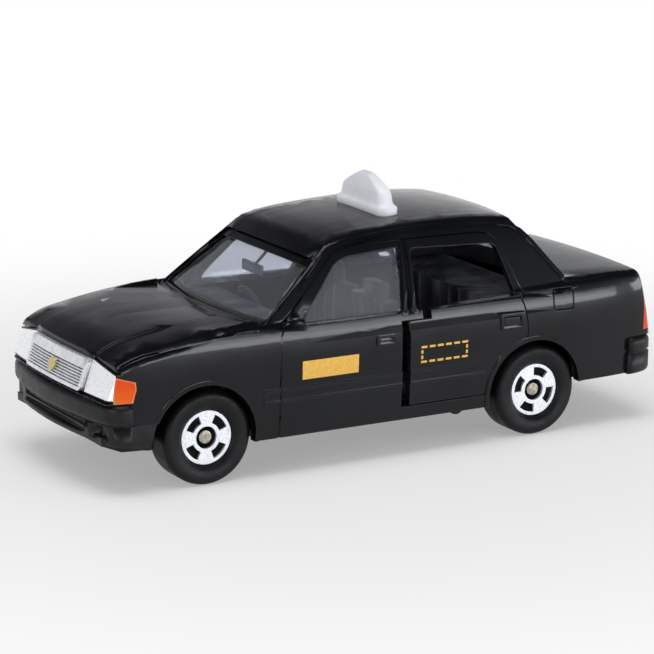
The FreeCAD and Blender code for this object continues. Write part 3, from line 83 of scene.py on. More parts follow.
def add_node(tree, kind, links=None, **settings):
    """Add a node, set its settings, and give each named input a value or another node's socket."""
    node = tree.nodes.new(kind)
    for key, value in settings.items():
        setattr(node, key, value)
    for socket, source in (links or {}).items():
        if isinstance(source, bpy.types.NodeSocket):
            tree.links.new(source, node.inputs[socket])
        else:
            node.inputs[socket].default_value = source
    return node


def new_material(name):
    """Material with an empty node tree, and that tree."""
    material = bpy.data.materials.new(name)
    material.use_nodes = True
    material.node_tree.nodes.clear()
    return material, material.node_tree


def add_mesh(name, points, faces, material, smooth=True):
    """Object at the origin from an array of points in metres and an array of faces."""
    mesh = bpy.data.meshes.new(name)
    mesh.from_pydata(np.asarray(points, float).reshape(-1, 3).tolist(), [],
                     [list(face) for face in faces])
    mesh.materials.append(material)
    if smooth:
        mesh.shade_smooth()
    item = bpy.data.objects.new(name, mesh)
    scene.collection.objects.link(item)
    return item


def seen_rays(tree):
    """1 where the camera looks, or a reflection or a clear part shows what is behind."""
    path = add_node(tree, "ShaderNodeLightPath")
    seen = add_node(tree, "ShaderNodeMath",
                    {0: path.outputs["Is Camera Ray"], 1: path.outputs["Is Glossy Ray"]},
                    operation="MAXIMUM")
    seen = add_node(tree, "ShaderNodeMath",
                    {0: seen.outputs[0], 1: path.outputs["Is Transmission Ray"]},
                    operation="MAXIMUM")
    return seen.outputs[0]


# The paper bleaches out to white away from the car, and keeps the car's soft shadow near it.
paper, tree = new_material("matt_table_paper")
shadow_reach, white_reach, least_bleach = 35 * mm, 120 * mm, 0.3
place = add_node(tree, "ShaderNodeTexCoord")
away = add_node(tree, "ShaderNodeVectorMath", {0: place.outputs["Object"]}, operation="LENGTH")
bleach = add_node(tree, "ShaderNodeMapRange",
                  {"Value": away.outputs["Value"], "From Min": shadow_reach,
                   "From Max": white_reach, "To Min": least_bleach, "To Max": 1.0},
                  interpolation_type="SMOOTHSTEP")
bleach = add_node(tree, "ShaderNodeMath", {0: bleach.outputs["Result"], 1: seen_rays(tree)},
                  operation="MULTIPLY")
shader = add_node(tree, "ShaderNodeBsdfPrincipled",
                  {"Base Color": linear("F4F4F4"), "Roughness": 0.9})
glow = add_node(tree, "ShaderNodeEmission", {"Color": linear("FFFFFF"), "Strength": 1.0})
mixed = add_node(tree, "ShaderNodeMixShader", {
    0: bleach.outputs[0], 1: shader.outputs[0], 2: glow.outputs[0]})
add_node(tree, "ShaderNodeOutputMaterial", {"Surface": mixed.outputs[0]})
floor_reach = 3.0
floor = add_mesh("table", [(-floor_reach, -floor_reach, 0), (floor_reach, -floor_reach, 0),
                           (floor_reach, floor_reach, 0), (-floor_reach, floor_reach, 0)],
                 [(0, 1, 2, 3)], paper, smooth=False)

# The room's greys are seen, reflected and shown through the panes; a plain white fill lights.
room_fill = 0.36
world = bpy.data.worlds.new("studio_room")
scene.world = world
world.use_nodes = True
tree = world.node_tree
tree.nodes.clear()
direction = add_node(tree, "ShaderNodeTexCoord")
parts = add_node(tree, "ShaderNodeSeparateXYZ", {0: direction.outputs["Generated"]})
ramp = add_node(tree, "ShaderNodeValToRGB", {"Fac": parts.outputs["Z"]})
room_greys = ((0.05, "FFFFFF"), (0.16, "D8D9DC"), (0.30, "A6A7AC"), (0.42, "75767B"),
              (0.56, "303135"))
stops = ramp.color_ramp.elements
while len(stops) < len(room_greys):
    stops.new(0.5)
for stop, (height, code) in zip(stops, room_greys):
    stop.position = height
    stop.color = linear(code)
shown = add_node(tree, "ShaderNodeBackground", {"Color": ramp.outputs["Color"], "Strength": 1.0})
fill = add_node(tree, "ShaderNodeBackground", {"Color": linear("FFFFFF"), "Strength": room_fill})
mixed = add_node(tree, "ShaderNodeMixShader",
                 {0: seen_rays(tree), 1: fill.outputs[0], 2: shown.outputs[0]})
add_node(tree, "ShaderNodeOutputWorld", {"Surface": mixed.outputs[0]})

lamp_distance = 0.6
cool_white = (0.92, 0.955, 1.0)


def soft_lamp(name, turn, rise, width, height, radiance, tint=(1.0, 1.0, 1.0)):
    """Soft lamp that faces the car, turned from its left towards its front and raised, in
    degrees; width and height in metres."""
    lamp = bpy.data.lights.new(name, "AREA")
    lamp.shape = "RECTANGLE"
    lamp.size = width
    lamp.size_y = height
    lamp.energy = radiance * math.pi * width * height
    lamp.color = tint
    item = bpy.data.objects.new(name, lamp)
    scene.collection.objects.link(item)
    turn, rise = math.radians(turn), math.radians(rise)
    towards = Vector((math.sin(turn) * math.cos(rise), math.cos(turn) * math.cos(rise),
                      math.sin(rise)))
    item.location = towards * lamp_distance
    item.rotation_euler = towards.to_track_quat("Z", "Y").to_euler()


# The side lamp is in three steps: its low and high edge in degrees, and its radiance.
side_turn, side_width = -26.0, 0.45
side_steps = ((0.5, 4.5, 11.0), (4.5, 8.5, 7.0), (8.5, 12.0, 2.5))
for low, high, radiance in side_steps:
    soft_lamp(f"side_lamp_{high:.0f}", side_turn, (low + high) / 2, side_width,
              math.radians(high - low) * lamp_distance, radiance, cool_white)
soft_lamp("rear_corner_lamp", -62.0, 6.0, 0.18, 0.11, 10.0, cool_white)
soft_lamp("front_corner_lamp", 8.0, 5.0, 0.14, 0.08, 9.0, cool_white)
soft_lamp("overhead_lamp", 45.0, 80.0, 0.4, 0.3, 4.3)
soft_lamp("front_lamp", 72.0, 15.0, 0.2, 0.2, 5.0)


# Casting: the zinc body and the hinged rear door, dipped and stoved in black enamel.
# The enamel is thick enough to round every edge, and it is glossy with a slight orange peel.
def mottle(tree, size, low=0.0, high=1.0, detail=2.0, start=0.35, stop=0.65):
    """Value that wanders from low to high in blobs of a size in millimetres, fixed to the piece.

    The pattern's own values from start to stop are stretched over that span, level outside it.
    """
    place = add_node(tree, "ShaderNodeTexCoord")
    blobs = add_node(tree, "ShaderNodeTexNoise", {
        "Vector": place.outputs["Object"], "Scale": 1 / (size * mm), "Detail": detail})
    stretched = add_node(tree, "ShaderNodeMapRange", {
        "Value": blobs.outputs["Fac"], "From Min": start, "From Max": stop,
        "To Min": low, "To Max": high})
    return stretched.outputs["Result"]


def layered_colour(tree, first, *layers):
    """Colour built up from a hex code by layers, each a share and the code laid over the rest."""
    colour = linear(first)
    for share, code in layers:
        laid = add_node(tree, "ShaderNodeMix", {0: share, 6: colour, 7: linear(code)},
                        data_type="RGBA")
        colour = laid.outputs[2]
    return colour


def worked_normal(tree, radius, bumps=()):
    """Normal with sharp edges rounded to a radius in millimetres, and the edges' share.

    Each bump is a blob size in millimetres or a height socket, and the depth in millimetres
    that it stands for. The edge's share goes by how far the rounding turns the normal.
    """
    flat, full_edge = 0.99, 0.85
    rounded = add_node(tree, "ShaderNodeBevel", {"Radius": radius * mm}, samples=6)
    real = add_node(tree, "ShaderNodeNewGeometry")
    turn = add_node(tree, "ShaderNodeVectorMath",
                    {0: rounded.outputs[0], 1: real.outputs["Normal"]}, operation="DOT_PRODUCT")
    edge = add_node(tree, "ShaderNodeMapRange", {
        "Value": turn.outputs["Value"], "From Min": flat, "From Max": full_edge,
        "To Min": 0.0, "To Max": 1.0})
    normal = rounded.outputs[0]
    for height, depth in bumps:
        if not isinstance(height, bpy.types.NodeSocket):
            height = mottle(tree, height, start=0.0, stop=1.0)
        bump = add_node(tree, "ShaderNodeBump", {"Height": height, "Strength": 1.0,
                                                 "Distance": depth * mm, "Normal": normal})
        normal = bump.outputs[0]
    return normal, edge.outputs["Result"]


def finish_surface(tree, settings):
    """Surface of one shader with these settings."""
    shader = add_node(tree, "ShaderNodeBsdfPrincipled", settings)
    add_node(tree, "ShaderNodeOutputMaterial", {"Surface": shader.outputs[0]})


# Enamel: deep black with a faint blue, a little paler along every edge: thinner enamel there, and
# a painted highlight.
# A soft sheen lies under a clear gloss. Both indices are set under the resin's own 1.5, because
# a white floor lies all round the car.
enamel, tree = new_material("stoved_black_enamel")
normal, edge = worked_normal(tree, 0.14, [(1.1, 0.0012)])
colour = layered_colour(tree, "08090C", (mottle(tree, 9.0), "0F1013"), (edge, "26272C"))
finish_surface(tree, {
    "Base Color": colour, "IOR": 1.22, "Roughness": mottle(tree, 4.0, 0.2, 0.26),
    "Normal": normal, "Coat Weight": 0.4, "Coat Roughness": 0.05, "Coat IOR": 1.4,
    "Coat Normal": normal})


def corner_arrays(mesh):
    """Each face corner's point, face normal and face area in millimetres, as whole arrays.

    Everything is folded on to the left side, because the car is the same on both.
    """
    count = len(mesh.loops)
    points = np.empty(len(mesh.vertices) * 3)
    mesh.vertices.foreach_get("co", points)
    corners = np.empty(count, int)
    mesh.loops.foreach_get("vertex_index", corners)
    facing = np.empty(len(mesh.polygons) * 3)
    mesh.polygons.foreach_get("normal", facing)
    area = np.empty(len(mesh.polygons))
    mesh.polygons.foreach_get("area", area)
    points = points.reshape(-1, 3)[corners] / mm
    facing = np.repeat(facing.reshape(-1, 3), 3, axis=0)
    side = np.where(points[:, 1] < 0, -1.0, 1.0)
    folded = np.array([1.0, 0.0, 1.0]) + side[:, None] * np.array([0.0, 1.0, 0.0])
    return points * folded, facing * folded, np.repeat(area, 3), folded, corners


def spline_terms(place, spans):
    """Cubic B-spline bumps on even knots over 0 to 1: s is a place's distance from each bump in
    knots, and a bump is (4 - 6s² + 3s³) / 6 out to one knot and (2 - s)³ / 6 out to two."""
    s = np.abs(place[:, None] * spans - np.arange(-1, spans + 2))
    return np.where(s < 1, (4 - 6 * s ** 2 + 3 * s ** 3) / 6, np.clip(2 - s, 0, None) ** 3 / 6)


def form_terms(along, across, spans):
    """Terms of a form's height: a smooth curve along it, one across it and a coarse product."""
    coarse_along, coarse_across = 8, 4
    product = (spline_terms(along, coarse_along)[:, :, None]
               * spline_terms(across, coarse_across)[:, None, :])
    count = product.shape[1] * product.shape[2]
    return np.hstack([spline_terms(along, spans[0]), spline_terms(across, spans[1]),
                      product.reshape(-1, count)])


def fit_form(meshes, axis, sense, low, high, spans=(24, 12), raised=(0.0, 0.0), steep=0.7):
    """Smooth form through the corners in a box that face along an axis.

    Its height along that axis is a curve along it plus a curve across it, as the car's forms are
    drawn. The fit is weighted by area, and each round trusts the corners that lie off the form
    less, so seams and raised trim drop out. A light stiffness carries it over the windows and
    past its edges. Raised gives a middle strip's half width and how far it stands up, and steep
    how squarely a face must look along the axis.
    """
    low, high = np.array(low, float), np.array(high, float)
    arrays = [corner_arrays(mesh) for mesh in meshes]
    points, facing, area = (np.concatenate([a[i] for a in arrays]) for i in range(3))
    inside = np.all((points > low) & (points < high), axis=1)
    inside &= sense * facing[:, axis] > steep
    points, area = points[inside], area[inside]
    u_axis, v_axis = {0: (2, 1), 1: (0, 2), 2: (0, 1)}[axis]
    margin, stiffness, product_stiffness = 1.6, 3e-6, 10
    trusts = (1.0, 0.5, 0.25, 0.12, 0.06, 0.03, 0.02, 0.015, 0.01, 0.01, 0.01)
    start = points.min(axis=0) - margin
    reach = points.max(axis=0) + margin - start
    local = (points - start) / reach
    terms = form_terms(local[:, u_axis], local[:, v_axis], spans)
    height = points[:, axis] - np.where(points[:, 1] < raised[0], raised[1], 0.0)
    bend = [np.diff(np.eye(count + 3), n=2, axis=0) for count in spans]
    bend.append(product_stiffness * np.eye(terms.shape[1] - sum(spans) - 6))
    stiff = np.zeros((sum(len(rows) for rows in bend), terms.shape[1]))
    row = column = 0
    for rows in bend:
        stiff[row:row + rows.shape[0], column:column + rows.shape[1]] = rows
        row, column = row + rows.shape[0], column + rows.shape[1]
    stiff *= math.sqrt(area.sum() * stiffness)
    weight = area.copy()
    for trust in trusts:
        root = np.sqrt(weight)[:, None]
        factors = np.linalg.lstsq(np.vstack([terms * root, stiff]),
                                  np.append(height * root[:, 0], np.zeros(len(stiff))),
                                  rcond=1e-9)[0]
        miss = height - terms @ factors
        weight = area / (1 + (miss / trust) ** 2) ** 2
    return axis, (u_axis, v_axis), start, reach, low, high, spans, factors, sense


def form_slopes(form, points):
    """The form's unit normals over some points, and how far the points lie above it."""
    axis, (u_axis, v_axis), start, reach, _, _, spans, factors, _ = form
    u = (points[:, u_axis] - start[u_axis]) / reach[u_axis]
    v = (points[:, v_axis] - start[v_axis]) / reach[v_axis]
    step = 0.001
    slope_u, slope_v = (
        (form_terms(u + a, v + b, spans) - form_terms(u - a, v - b, spans)) @ factors / (2 * step)
        for a, b in ((step, 0), (0, step)))
    normals = np.zeros_like(points)
    normals[:, axis] = 1.0
    normals[:, u_axis] = -slope_u / reach[u_axis]
    normals[:, v_axis] = -slope_v / reach[v_axis]
    normals /= np.linalg.norm(normals, axis=1)[:, None]
    return normals, points[:, axis] - form_terms(u, v, spans) @ factors


def follow_forms(mesh, forms, rolls=()):
    """Shade the corners that lie on a form, or parallel to it, with the form's own normal.

    Long thin facets otherwise show in the gloss. The first form that fits a corner shades it,
    and corners that Blender shades as one keep one normal. On an edge rolled to a radius, the
    normal's share along each form's own normal is one less the depth below it over the radius.
    """
    same_way, near_form, side_reach = 0.985, 1.9, 2.0
    above_form, shallow, forms_apart, length_miss, rolled_way = 0.02, 0.35, 0.8, 0.3, 0.85
    normal_steps, shortest = 500, 0.5
    points, facing, _, folded, corners = corner_arrays(mesh)
    shaded = np.empty(len(mesh.loops) * 3)
    mesh.corner_normals.foreach_get("vector", shaded)
    shaded = shaded.reshape(-1, 3) * folded
    chosen = np.zeros(len(points), bool)
    normals = shaded.copy()
    for form in forms:
        axis, low, high = form[0], form[4].copy(), form[5].copy()
        low[axis] -= side_reach
        inside = np.all((points > low) & (points < high), axis=1)
        found, above = form_slopes(form, points[inside])
        turned = np.sum(found * facing[inside], axis=1)
        near = (np.abs(turned) > same_way) & (np.abs(above) < near_form) & ~chosen[inside]
        places = np.flatnonzero(inside)[near]
        normals[places] = found[near] * np.sign(turned[near])[:, None]
        chosen[places] = True
    for first, second, radius in rolls:
        found_a, above_a = form_slopes(first, points)
        found_b, above_b = form_slopes(second, points)
        deep_a = -above_a * found_a[:, first[0]] * first[8]
        deep_b = -above_b * found_b[:, second[0]] * second[8]
        found_a, found_b = found_a * first[8], found_b * second[8]
        places = ~chosen & (deep_a > -above_form) & (deep_b > -above_form)
        places &= (deep_a < radius) & (deep_b < radius)
        places &= (np.minimum(deep_a, deep_b) < shallow * radius)
        places &= np.sum(found_a * found_b, axis=1) < forms_apart
        places = np.flatnonzero(places)
        along = np.cross(found_a[places], found_b[places])
        sides = np.stack([found_a[places], found_b[places], along], axis=1)
        shares = np.column_stack([1 - deep_a[places] / radius, 1 - deep_b[places] / radius,
                                  np.zeros(len(places))])
        rolled = np.linalg.solve(sides, shares[:, :, None])[:, :, 0]
        length = np.linalg.norm(rolled, axis=1)
        rolled /= length[:, None]
        fits = np.abs(length - 1) < length_miss
        fits &= np.sum(rolled * facing[places], axis=1) > rolled_way
        normals[places[fits]] = rolled[fits]
        chosen[places[fits]] = True
    keys = np.column_stack([corners, np.round(shaded * normal_steps)]).astype(np.int64)
    _, fan = np.unique(keys, axis=0, return_inverse=True)
    fan = fan.ravel()
    counts = np.bincount(fan, weights=chosen)
    sums = np.column_stack([np.bincount(fan, weights=normals[:, i] * chosen) for i in range(3)])
    shared = counts[fan] > 0
    normals[shared] = sums[fan][shared]
    length = np.linalg.norm(normals, axis=1)
    normals[length < shortest] = facing[length < shortest]
    normals /= np.maximum(length, shortest)[:, None]
    mesh.normals_split_custom_set((normals * folded).tolist())


def clad(node, name, material, body="root", crease=28.0, forms=(), rolls=()):
    """Merged copy of a CAD node, smooth except at edges sharper than the crease in degrees."""
    weld = 0.0005 * mm
    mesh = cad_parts[node].data.copy()
    mesh.name = name
    work = bmesh.new()
    work.from_mesh(mesh)
    bmesh.ops.remove_doubles(work, verts=work.verts, dist=weld)
    work.to_mesh(mesh)
    work.free()
    mesh.materials.clear()
    mesh.materials.append(material)
    mesh.shade_smooth()
    mesh.set_sharp_from_angle(angle=math.radians(crease))
    if forms:
        follow_forms(mesh, forms, rolls)
    item = bpy.data.objects.new(name, mesh)
    scene.collection.objects.link(item)
    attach(item, body)
    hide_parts(node)


casting = [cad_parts[name].data for name in ("body_shell", "rear_door_left")]
flank = fit_form(casting, 1, 1, (-38.5, 11.0, 1.0), (38.5, 15.0, 17.3))
cabin_side = fit_form(casting, 1, 1, (-32.0, 7.0, 18.3), (20.0, 14.5, 25.2), spans=(8, 3))
bonnet = fit_form(casting, 2, 1, (12.6, -1.0, 13.0), (38.5, 14.0, 20.0), raised=(7.65, 0.3))
boot = fit_form(casting, 2, 1, (-38.5, -1.0, 16.0), (-24.8, 14.0, 20.0), spans=(10, 10))
roof = fit_form(casting, 2, 1, (-25.0, -1.0, 21.0), (14.0, 11.0, 28.0))
tail = fit_form(casting, 0, -1, (-39.0, -1.0, 8.0), (-33.0, 13.0, 18.0), spans=(8, 6), steep=0.6)
rear_roll = fit_form(casting, 1, 1, (-38.0, 10.5, 16.4), (-25.0, 15.0, 19.2), (8, 8), steep=0.45)
roof_rail = fit_form(casting, 1, 1, (-20.0, 8.0, 25.2), (8.0, 12.0, 27.2), (14, 6), steep=0.45)
# The bonnet's form also shades the strip behind its box, back to the windscreen's foot.
cowl_strip = np.array([1.6, 0.0, 0.0])
bonnet = bonnet[:4] + (bonnet[4] - cowl_strip,) + bonnet[5:]
body_forms = (flank, cabin_side, bonnet, boot, roof, tail, rear_roll, roof_rail)
clad("body_shell", "casting_skin", enamel, forms=body_forms,
     rolls=((flank, bonnet, 1.4),))
clad("rear_door_left", "rear_door_skin", enamel, "rear_door_left",
     forms=(flank,))


# Prints: gold ink stamped on the doors, a blank plate on the front one and a dashed frame on
# the rear one. The ink stands a hair proud of the enamel and dips into it along its border.
def lay_print(name, boxes, side, body, material):
    """Thin raised print on the flank, from boxes in millimetres: low x, high x, low z, high z.

    Each box is a grid of points on the flank's form, set out by the ink's thickness, with one
    more ring of points under the enamel, so it has closed sides.
    """
    ink, sunk, cell, crease = 0.025, -0.1, 0.45, 40
    points, faces = [], []
    first = 0
    for low_x, high_x, low_z, high_z in boxes:
        along = np.linspace(low_x, high_x, 2 + int((high_x - low_x) / cell))
        up = np.linspace(low_z, high_z, 2 + int((high_z - low_z) / cell))
        along, up = np.pad(along, 1, mode="edge"), np.pad(up, 1, mode="edge")
        x, z = (a.ravel() for a in np.meshgrid(along, up, indexing="ij"))
        depth = np.full((len(along), len(up)), sunk)
        depth[1:-1, 1:-1] = ink
        flat = np.column_stack([x, np.zeros_like(x), z])
        y = depth.ravel() - form_slopes(flank, flat)[1]
        points.append(np.column_stack([x, side * y, z]))
        index = first + np.arange(len(x)).reshape(len(along), len(up))
        quads = [index[:-1, :-1], index[:-1, 1:], index[1:, 1:], index[1:, :-1]]
        faces.append(np.stack([q.ravel() for q in quads[::side]], axis=1))
        first += len(x)
    item = add_mesh(name, np.concatenate(points) * mm, np.concatenate(faces).tolist(), material)
    item.data.set_sharp_from_angle(angle=math.radians(crease))
    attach(item, body)


# Ink: bronze powder in varnish, finely grained, and thinner in faint blotches.
gold_ink, tree = new_material("bronze_powder_ink")
normal, _ = worked_normal(tree, 0.05, [(0.2, 0.002)])
colour = layered_colour(tree, "CE9F40", (mottle(tree, 0.2, detail=3.0), "DAAE54"))
finish_surface(tree, {"Base Color": colour, "Metallic": 0.35, "IOR": 1.45, "Normal": normal,
                      "Roughness": mottle(tree, 0.8, 0.38, 0.52)})
plate = [(4.9, 12.3, 11.13, 13.3)]
frame_low_x, frame_high_x, frame_low_z, frame_high_z, line = -9.9, -3.5, 11.15, 13.2, 0.27
dashes = []
dash, gap, corner_gap = 0.8, 0.32, 0.22
for start in np.arange(frame_low_x, frame_high_x - dash / 2, dash + gap):
    stop = min(start + dash, frame_high_x)
    dashes += [(start, stop, frame_low_z, frame_low_z + line),
               (start, stop, frame_high_z - line, frame_high_z)]
upright = (frame_high_z - frame_low_z - 2 * line - 3 * corner_gap) / 2
lowest = frame_low_z + line + corner_gap
for start in (lowest, lowest + corner_gap + upright):
    dashes += [(frame_low_x, frame_low_x + line, start, start + upright),
               (frame_high_x - line, frame_high_x, start, start + upright)]
for side, word in ((1, "left"), (-1, "right")):
    lay_print(f"blank_plate_{word}", plate, side, "root", gold_ink)
    lay_print(f"dashed_frame_{word}", dashes, side,
              "rear_door_left" if side == 1 else "root", gold_ink)


# Base: one moulding with both bumpers, in black polypropylene, greyer and duller than the
# enamel. Its mould was spark-eroded, which leaves a fine even grain, drawn twice its size.
base_plastic, tree = new_material("moulded_black_polypropylene")
normal, edge = worked_normal(tree, 0.16, [(0.16, 0.004)])
# Its edges are painted paler, a painted highlight.
colour = layered_colour(tree, "0F0F11", (mottle(tree, 5.0), "161618"), (edge, "303033"))
finish_surface(tree, {"Base Color": colour, "IOR": 1.33, "Normal": normal,
                      "Roughness": mottle(tree, 2.5, 0.36, 0.48)})
clad("base_plate", "base_skin", base_plastic)


# Glazing: one clear polystyrene moulding pushed up inside the roof, smoky from its thickness.
# It bends light little here, so that the far windows show through as clean shapes.
clear, tree = new_material("clear_polystyrene")
normal, _ = worked_normal(tree, 0.1, [(3.0, 0.002)])
finish_surface(tree, {
    "Base Color": linear("E3E6EE"), "Roughness": 0.03, "IOR": 1.08,
    "Transmission Weight": 0.94, "Coat Weight": 1.0, "Coat Roughness": 0.04, "Coat IOR": 1.5,
    "Coat Normal": normal})
moulding = [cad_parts["glazing"].data]
panes = (
    fit_form(moulding, 1, 1, (-27.0, 3.0, 16.5), (20.0, 14.5, 25.6), (6, 3)),
    fit_form(moulding, 2, 1, (9.5, -1.0, 16.5), (20.0, 13.0, 26.0), (6, 4), steep=0.6),
    fit_form(moulding, 0, -1, (-28.0, -1.0, 16.5), (-18.0, 13.0, 26.0), (4, 4), steep=0.55),
)
clad("glazing", "glazing_skin", clear, forms=panes)


# Interior mirror: a small plate on a stalk behind the windscreen, moulded in half-clear
# polystyrene, so it looks smoky; its edges are painted darker, a painted shade.
smoky, tree = new_material("clear_polystyrene_mirror")
normal, edge = worked_normal(tree, 0.1)
finish_surface(tree, {
    "Base Color": layered_colour(tree, "9C9EA4", (edge, "5A5C62")), "Roughness": 0.12,
    "IOR": 1.3, "Transmission Weight": 0.45, "Normal": normal})
clad("interior_mirror", "mirror_skin", smoky)


# Cabin: floor, seats and dashboard are one moulding in dark grey plastic, with a dull grain.
# Broad upright bands, paler where the piping's bump stands up, are a painted highlight on the
# seats' piping, wider than the real one; its edges carry a painted highlight too.
cabin_plastic, tree = new_material("moulded_grey_cabin_plastic")
# A wave pattern repeats every tau / 20 of its own units; the pitch is in millimetres.
wave_length = math.tau / 20
piping_pitch = 5.655
place = add_node(tree, "ShaderNodeTexCoord")
piping = add_node(tree, "ShaderNodeTexWave", {
    "Vector": place.outputs["Object"], "Scale": wave_length / (piping_pitch * mm),
    "Distortion": 0.0}, wave_type="BANDS", bands_direction="Y", wave_profile="SIN")
normal, edge = worked_normal(tree, 0.15, [(0.25, 0.006), (piping.outputs["Fac"], 0.12)])
colour = layered_colour(tree, "34353A", (piping.outputs["Fac"], "54555B"), (edge, "55565C"))
finish_surface(tree, {"Base Color": colour, "IOR": 1.45, "Normal": normal,
                      "Roughness": mottle(tree, 2.0, 0.35, 0.5)})
clad("cabin_moulding", "cabin_skin", cabin_plastic)


# Roof sign: a small white ABS moulding on a flange, fixed across the roof. Its corners are
# soft, and its edges are painted a little paler than its faces, a painted highlight.
white, tree = new_material("white_abs")
normal, edge = worked_normal(tree, 0.25, [(0.7, 0.003)])
colour = layered_colour(tree, "DDDEE4", (mottle(tree, 3.0), "E6E7EC"), (edge, "ECEDF2"))
finish_surface(tree, {"Base Color": colour, "IOR": 1.5, "Normal": normal,
                      "Roughness": mottle(tree, 1.5, 0.3, 0.42)})
clad("roof_sign", "sign_skin", white)


# Grille: a moulded panel of level bars set into the nose, with a round badge. Silver foil is
# stamped hot on to the bars, which leaves them bright and slightly uneven; their edges carry a
# painted highlight.
silver, tree = new_material("hot_stamped_silver_foil")
normal, edge = worked_normal(tree, 0.1, [(0.5, 0.003)])
colour = layered_colour(tree, "D3D5DB", (mottle(tree, 0.8), "E6E7EB"), (edge, "F4F4F6"))
finish_surface(tree, {"Base Color": colour, "Metallic": 0.55, "Normal": normal,
                      "Roughness": mottle(tree, 1.0, 0.26, 0.36)})
clad("front_grille", "grille_skin", silver)
# The badge is a plain round boss dabbed with pale gold ink, with a painted highlight round its
# rim.
pale_gold, tree = new_material("pale_gold_ink")
normal, edge = worked_normal(tree, 0.12, [(0.2, 0.008)])
finish_surface(tree, {
    "Base Color": layered_colour(tree, "CFBB8A", (edge, "EADFBE")), "Metallic": 0.5,
    "Roughness": mottle(tree, 0.3, 0.3, 0.45), "Normal": normal})
clad("grille_badge", "badge_skin", pale_gold)


# Lamps: raised panels of the nose and tail, painted. The headlamps are silver, greyer towards
# the foot from painted shade, the corner and tail lamps gloss colour, pale along the border where
# the paint is thin. Every lamp's border also carries a painted highlight.
def height_share(tree, low, high):
    """0 up to one height on the piece and 1 from another, in millimetres."""
    place = add_node(tree, "ShaderNodeTexCoord")
    heights = add_node(tree, "ShaderNodeSeparateXYZ", {0: place.outputs["Object"]})
    share = add_node(tree, "ShaderNodeMapRange", {
        "Value": heights.outputs["Z"], "From Min": low * mm, "From Max": high * mm,
        "To Min": 0.0, "To Max": 1.0})
    return share.outputs["Result"]


# Silver paint, satin, with one soft upright wave across each headlamp, paler towards its top: the
# greyer foot is painted shade.
lamp_silver, tree = new_material("headlamp_silver_paint")
flute_pitch = 5.027
place = add_node(tree, "ShaderNodeTexCoord")
flutes = add_node(tree, "ShaderNodeTexWave", {
    "Vector": place.outputs["Object"], "Scale": wave_length / (flute_pitch * mm),
    "Distortion": 0.0}, wave_type="BANDS", bands_direction="Y", wave_profile="SIN")
normal, edge = worked_normal(tree, 0.1, [(flutes.outputs["Fac"], 0.012), (0.8, 0.002)])
colour = layered_colour(tree, "CDD0D9", (height_share(tree, 9.6, 11.4), "F2F3F5"),
                        (edge, "EFEFF2"))
finish_surface(tree, {"Base Color": colour, "Metallic": 0.45, "Normal": normal,
                      "Roughness": mottle(tree, 0.8, 0.22, 0.34)})
# Orange gloss enamel, deeper towards its top, which is painted shade.
orange, tree = new_material("orange_lamp_enamel")
normal, edge = worked_normal(tree, 0.28, [(0.5, 0.003)])
colour = layered_colour(tree, "F0720F", (height_share(tree, 9.5, 13.0), "D94808"),
                        (edge, "F3A878"))
finish_surface(tree, {"Base Color": colour, "IOR": 1.33, "Normal": normal,
                      "Roughness": mottle(tree, 1.0, 0.14, 0.24)})
# Red gloss enamel, with broad level bands paler and darker along its ribs: painted light and shade
# on the ribs.
red, tree = new_material("red_lamp_enamel")
rib_pitch = 4.712
place = add_node(tree, "ShaderNodeTexCoord")
ribs = add_node(tree, "ShaderNodeTexWave", {
    "Vector": place.outputs["Object"], "Scale": wave_length / (rib_pitch * mm),
    "Distortion": 0.0}, wave_type="BANDS", bands_direction="Z", wave_profile="SIN")
normal, edge = worked_normal(tree, 0.2, [(ribs.outputs["Fac"], 0.06)])
colour = layered_colour(tree, "B92A17", (ribs.outputs["Fac"], "D8402A"), (edge, "E9775F"))
finish_surface(tree, {"Base Color": colour, "IOR": 1.4, "Normal": normal,
                      "Roughness": mottle(tree, 1.0, 0.14, 0.26)})
for side in ("left", "right"):
    clad(f"headlamp_{side}", f"headlamp_{side}_skin", lamp_silver)
    clad(f"corner_lamp_{side}", f"corner_lamp_{side}_skin", orange)
    clad(f"tail_lamp_{side}", f"tail_lamp_{side}_skin", red)


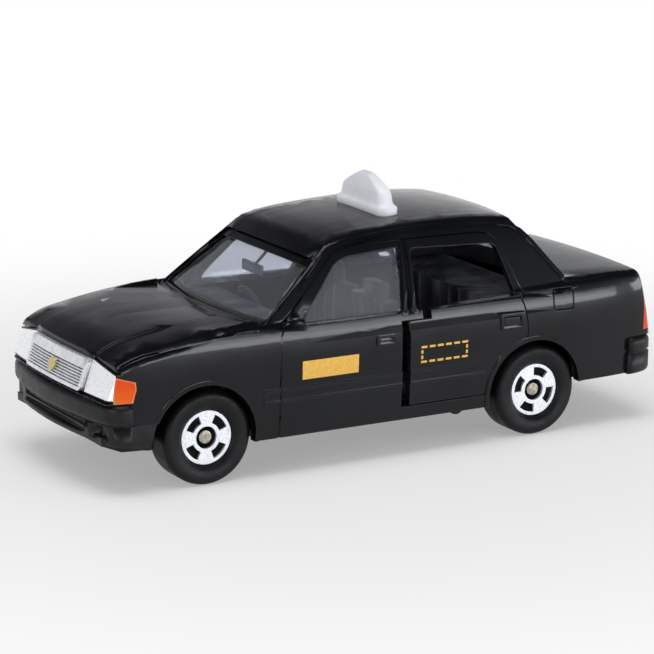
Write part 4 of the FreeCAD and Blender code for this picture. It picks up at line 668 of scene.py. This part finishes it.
# Wheels: each is one black plastic moulding, tyre and dish together, with a dull waxy look.
# It turns on a drawn steel axle whose end is peened over.
wheel_black, tree = new_material("moulded_black_wheel_plastic")
normal, edge = worked_normal(tree, 0.15, [(0.2, 0.004)])
# Its edges are painted paler, a painted highlight.
colour = layered_colour(tree, "0D0D0F", (mottle(tree, 3.0), "131315"), (edge, "2A2A2D"))
finish_surface(tree, {"Base Color": colour, "IOR": 1.28, "Normal": normal,
                      "Roughness": mottle(tree, 1.2, 0.4, 0.54)})
# Wheel faces: silver foil stamped hot on to the dish, bright, with a sandy grain from the
# plastic under it. The grain's tops are painted paler, painted glints, and its edges carry a
# painted highlight.
sandy, tree = new_material("sandy_silver_foil")
sand, sand_detail = 0.16, 4.0
grain = mottle(tree, sand, detail=sand_detail, start=0.0, stop=1.0)
normal, edge = worked_normal(tree, 0.1, [(grain, 0.01)])
grain_glints = mottle(tree, sand, detail=sand_detail, start=0.3, stop=0.6)
colour = layered_colour(tree, "C4C6CC", (grain_glints, "E9EAEF"), (edge, "F0F1F4"))
finish_surface(tree, {"Base Color": colour, "Metallic": 0.55, "Normal": normal,
                      "Roughness": mottle(tree, sand, 0.5, 0.34, sand_detail)})
# Axles: drawn steel wire with a dull yellowish skin, paler along its edges: polish where its head
# is peened, and a painted highlight.
steel, tree = new_material("drawn_steel_wire")
normal, edge = worked_normal(tree, 0.12, [(0.25, 0.01)])
colour = layered_colour(tree, "A39C8C", (mottle(tree, 0.5), "CFC8B6"), (edge, "DDD8CA"))
finish_surface(tree, {"Base Color": colour, "Metallic": 0.7, "Normal": normal,
                      "Roughness": mottle(tree, 0.4, 0.3, 0.48)})
for name in ("front_axle", "rear_axle"):
    clad(name, f"{name}_skin", steel)
for end in ("front", "rear"):
    for side in ("left", "right"):
        corner = f"{end}_{side}"
        clad(f"wheel_{corner}", f"tyre_{corner}", wheel_black, f"wheel_{corner}")
        clad(f"wheel_face_{corner}", f"disc_{corner}", sandy, f"wheel_{corner}")
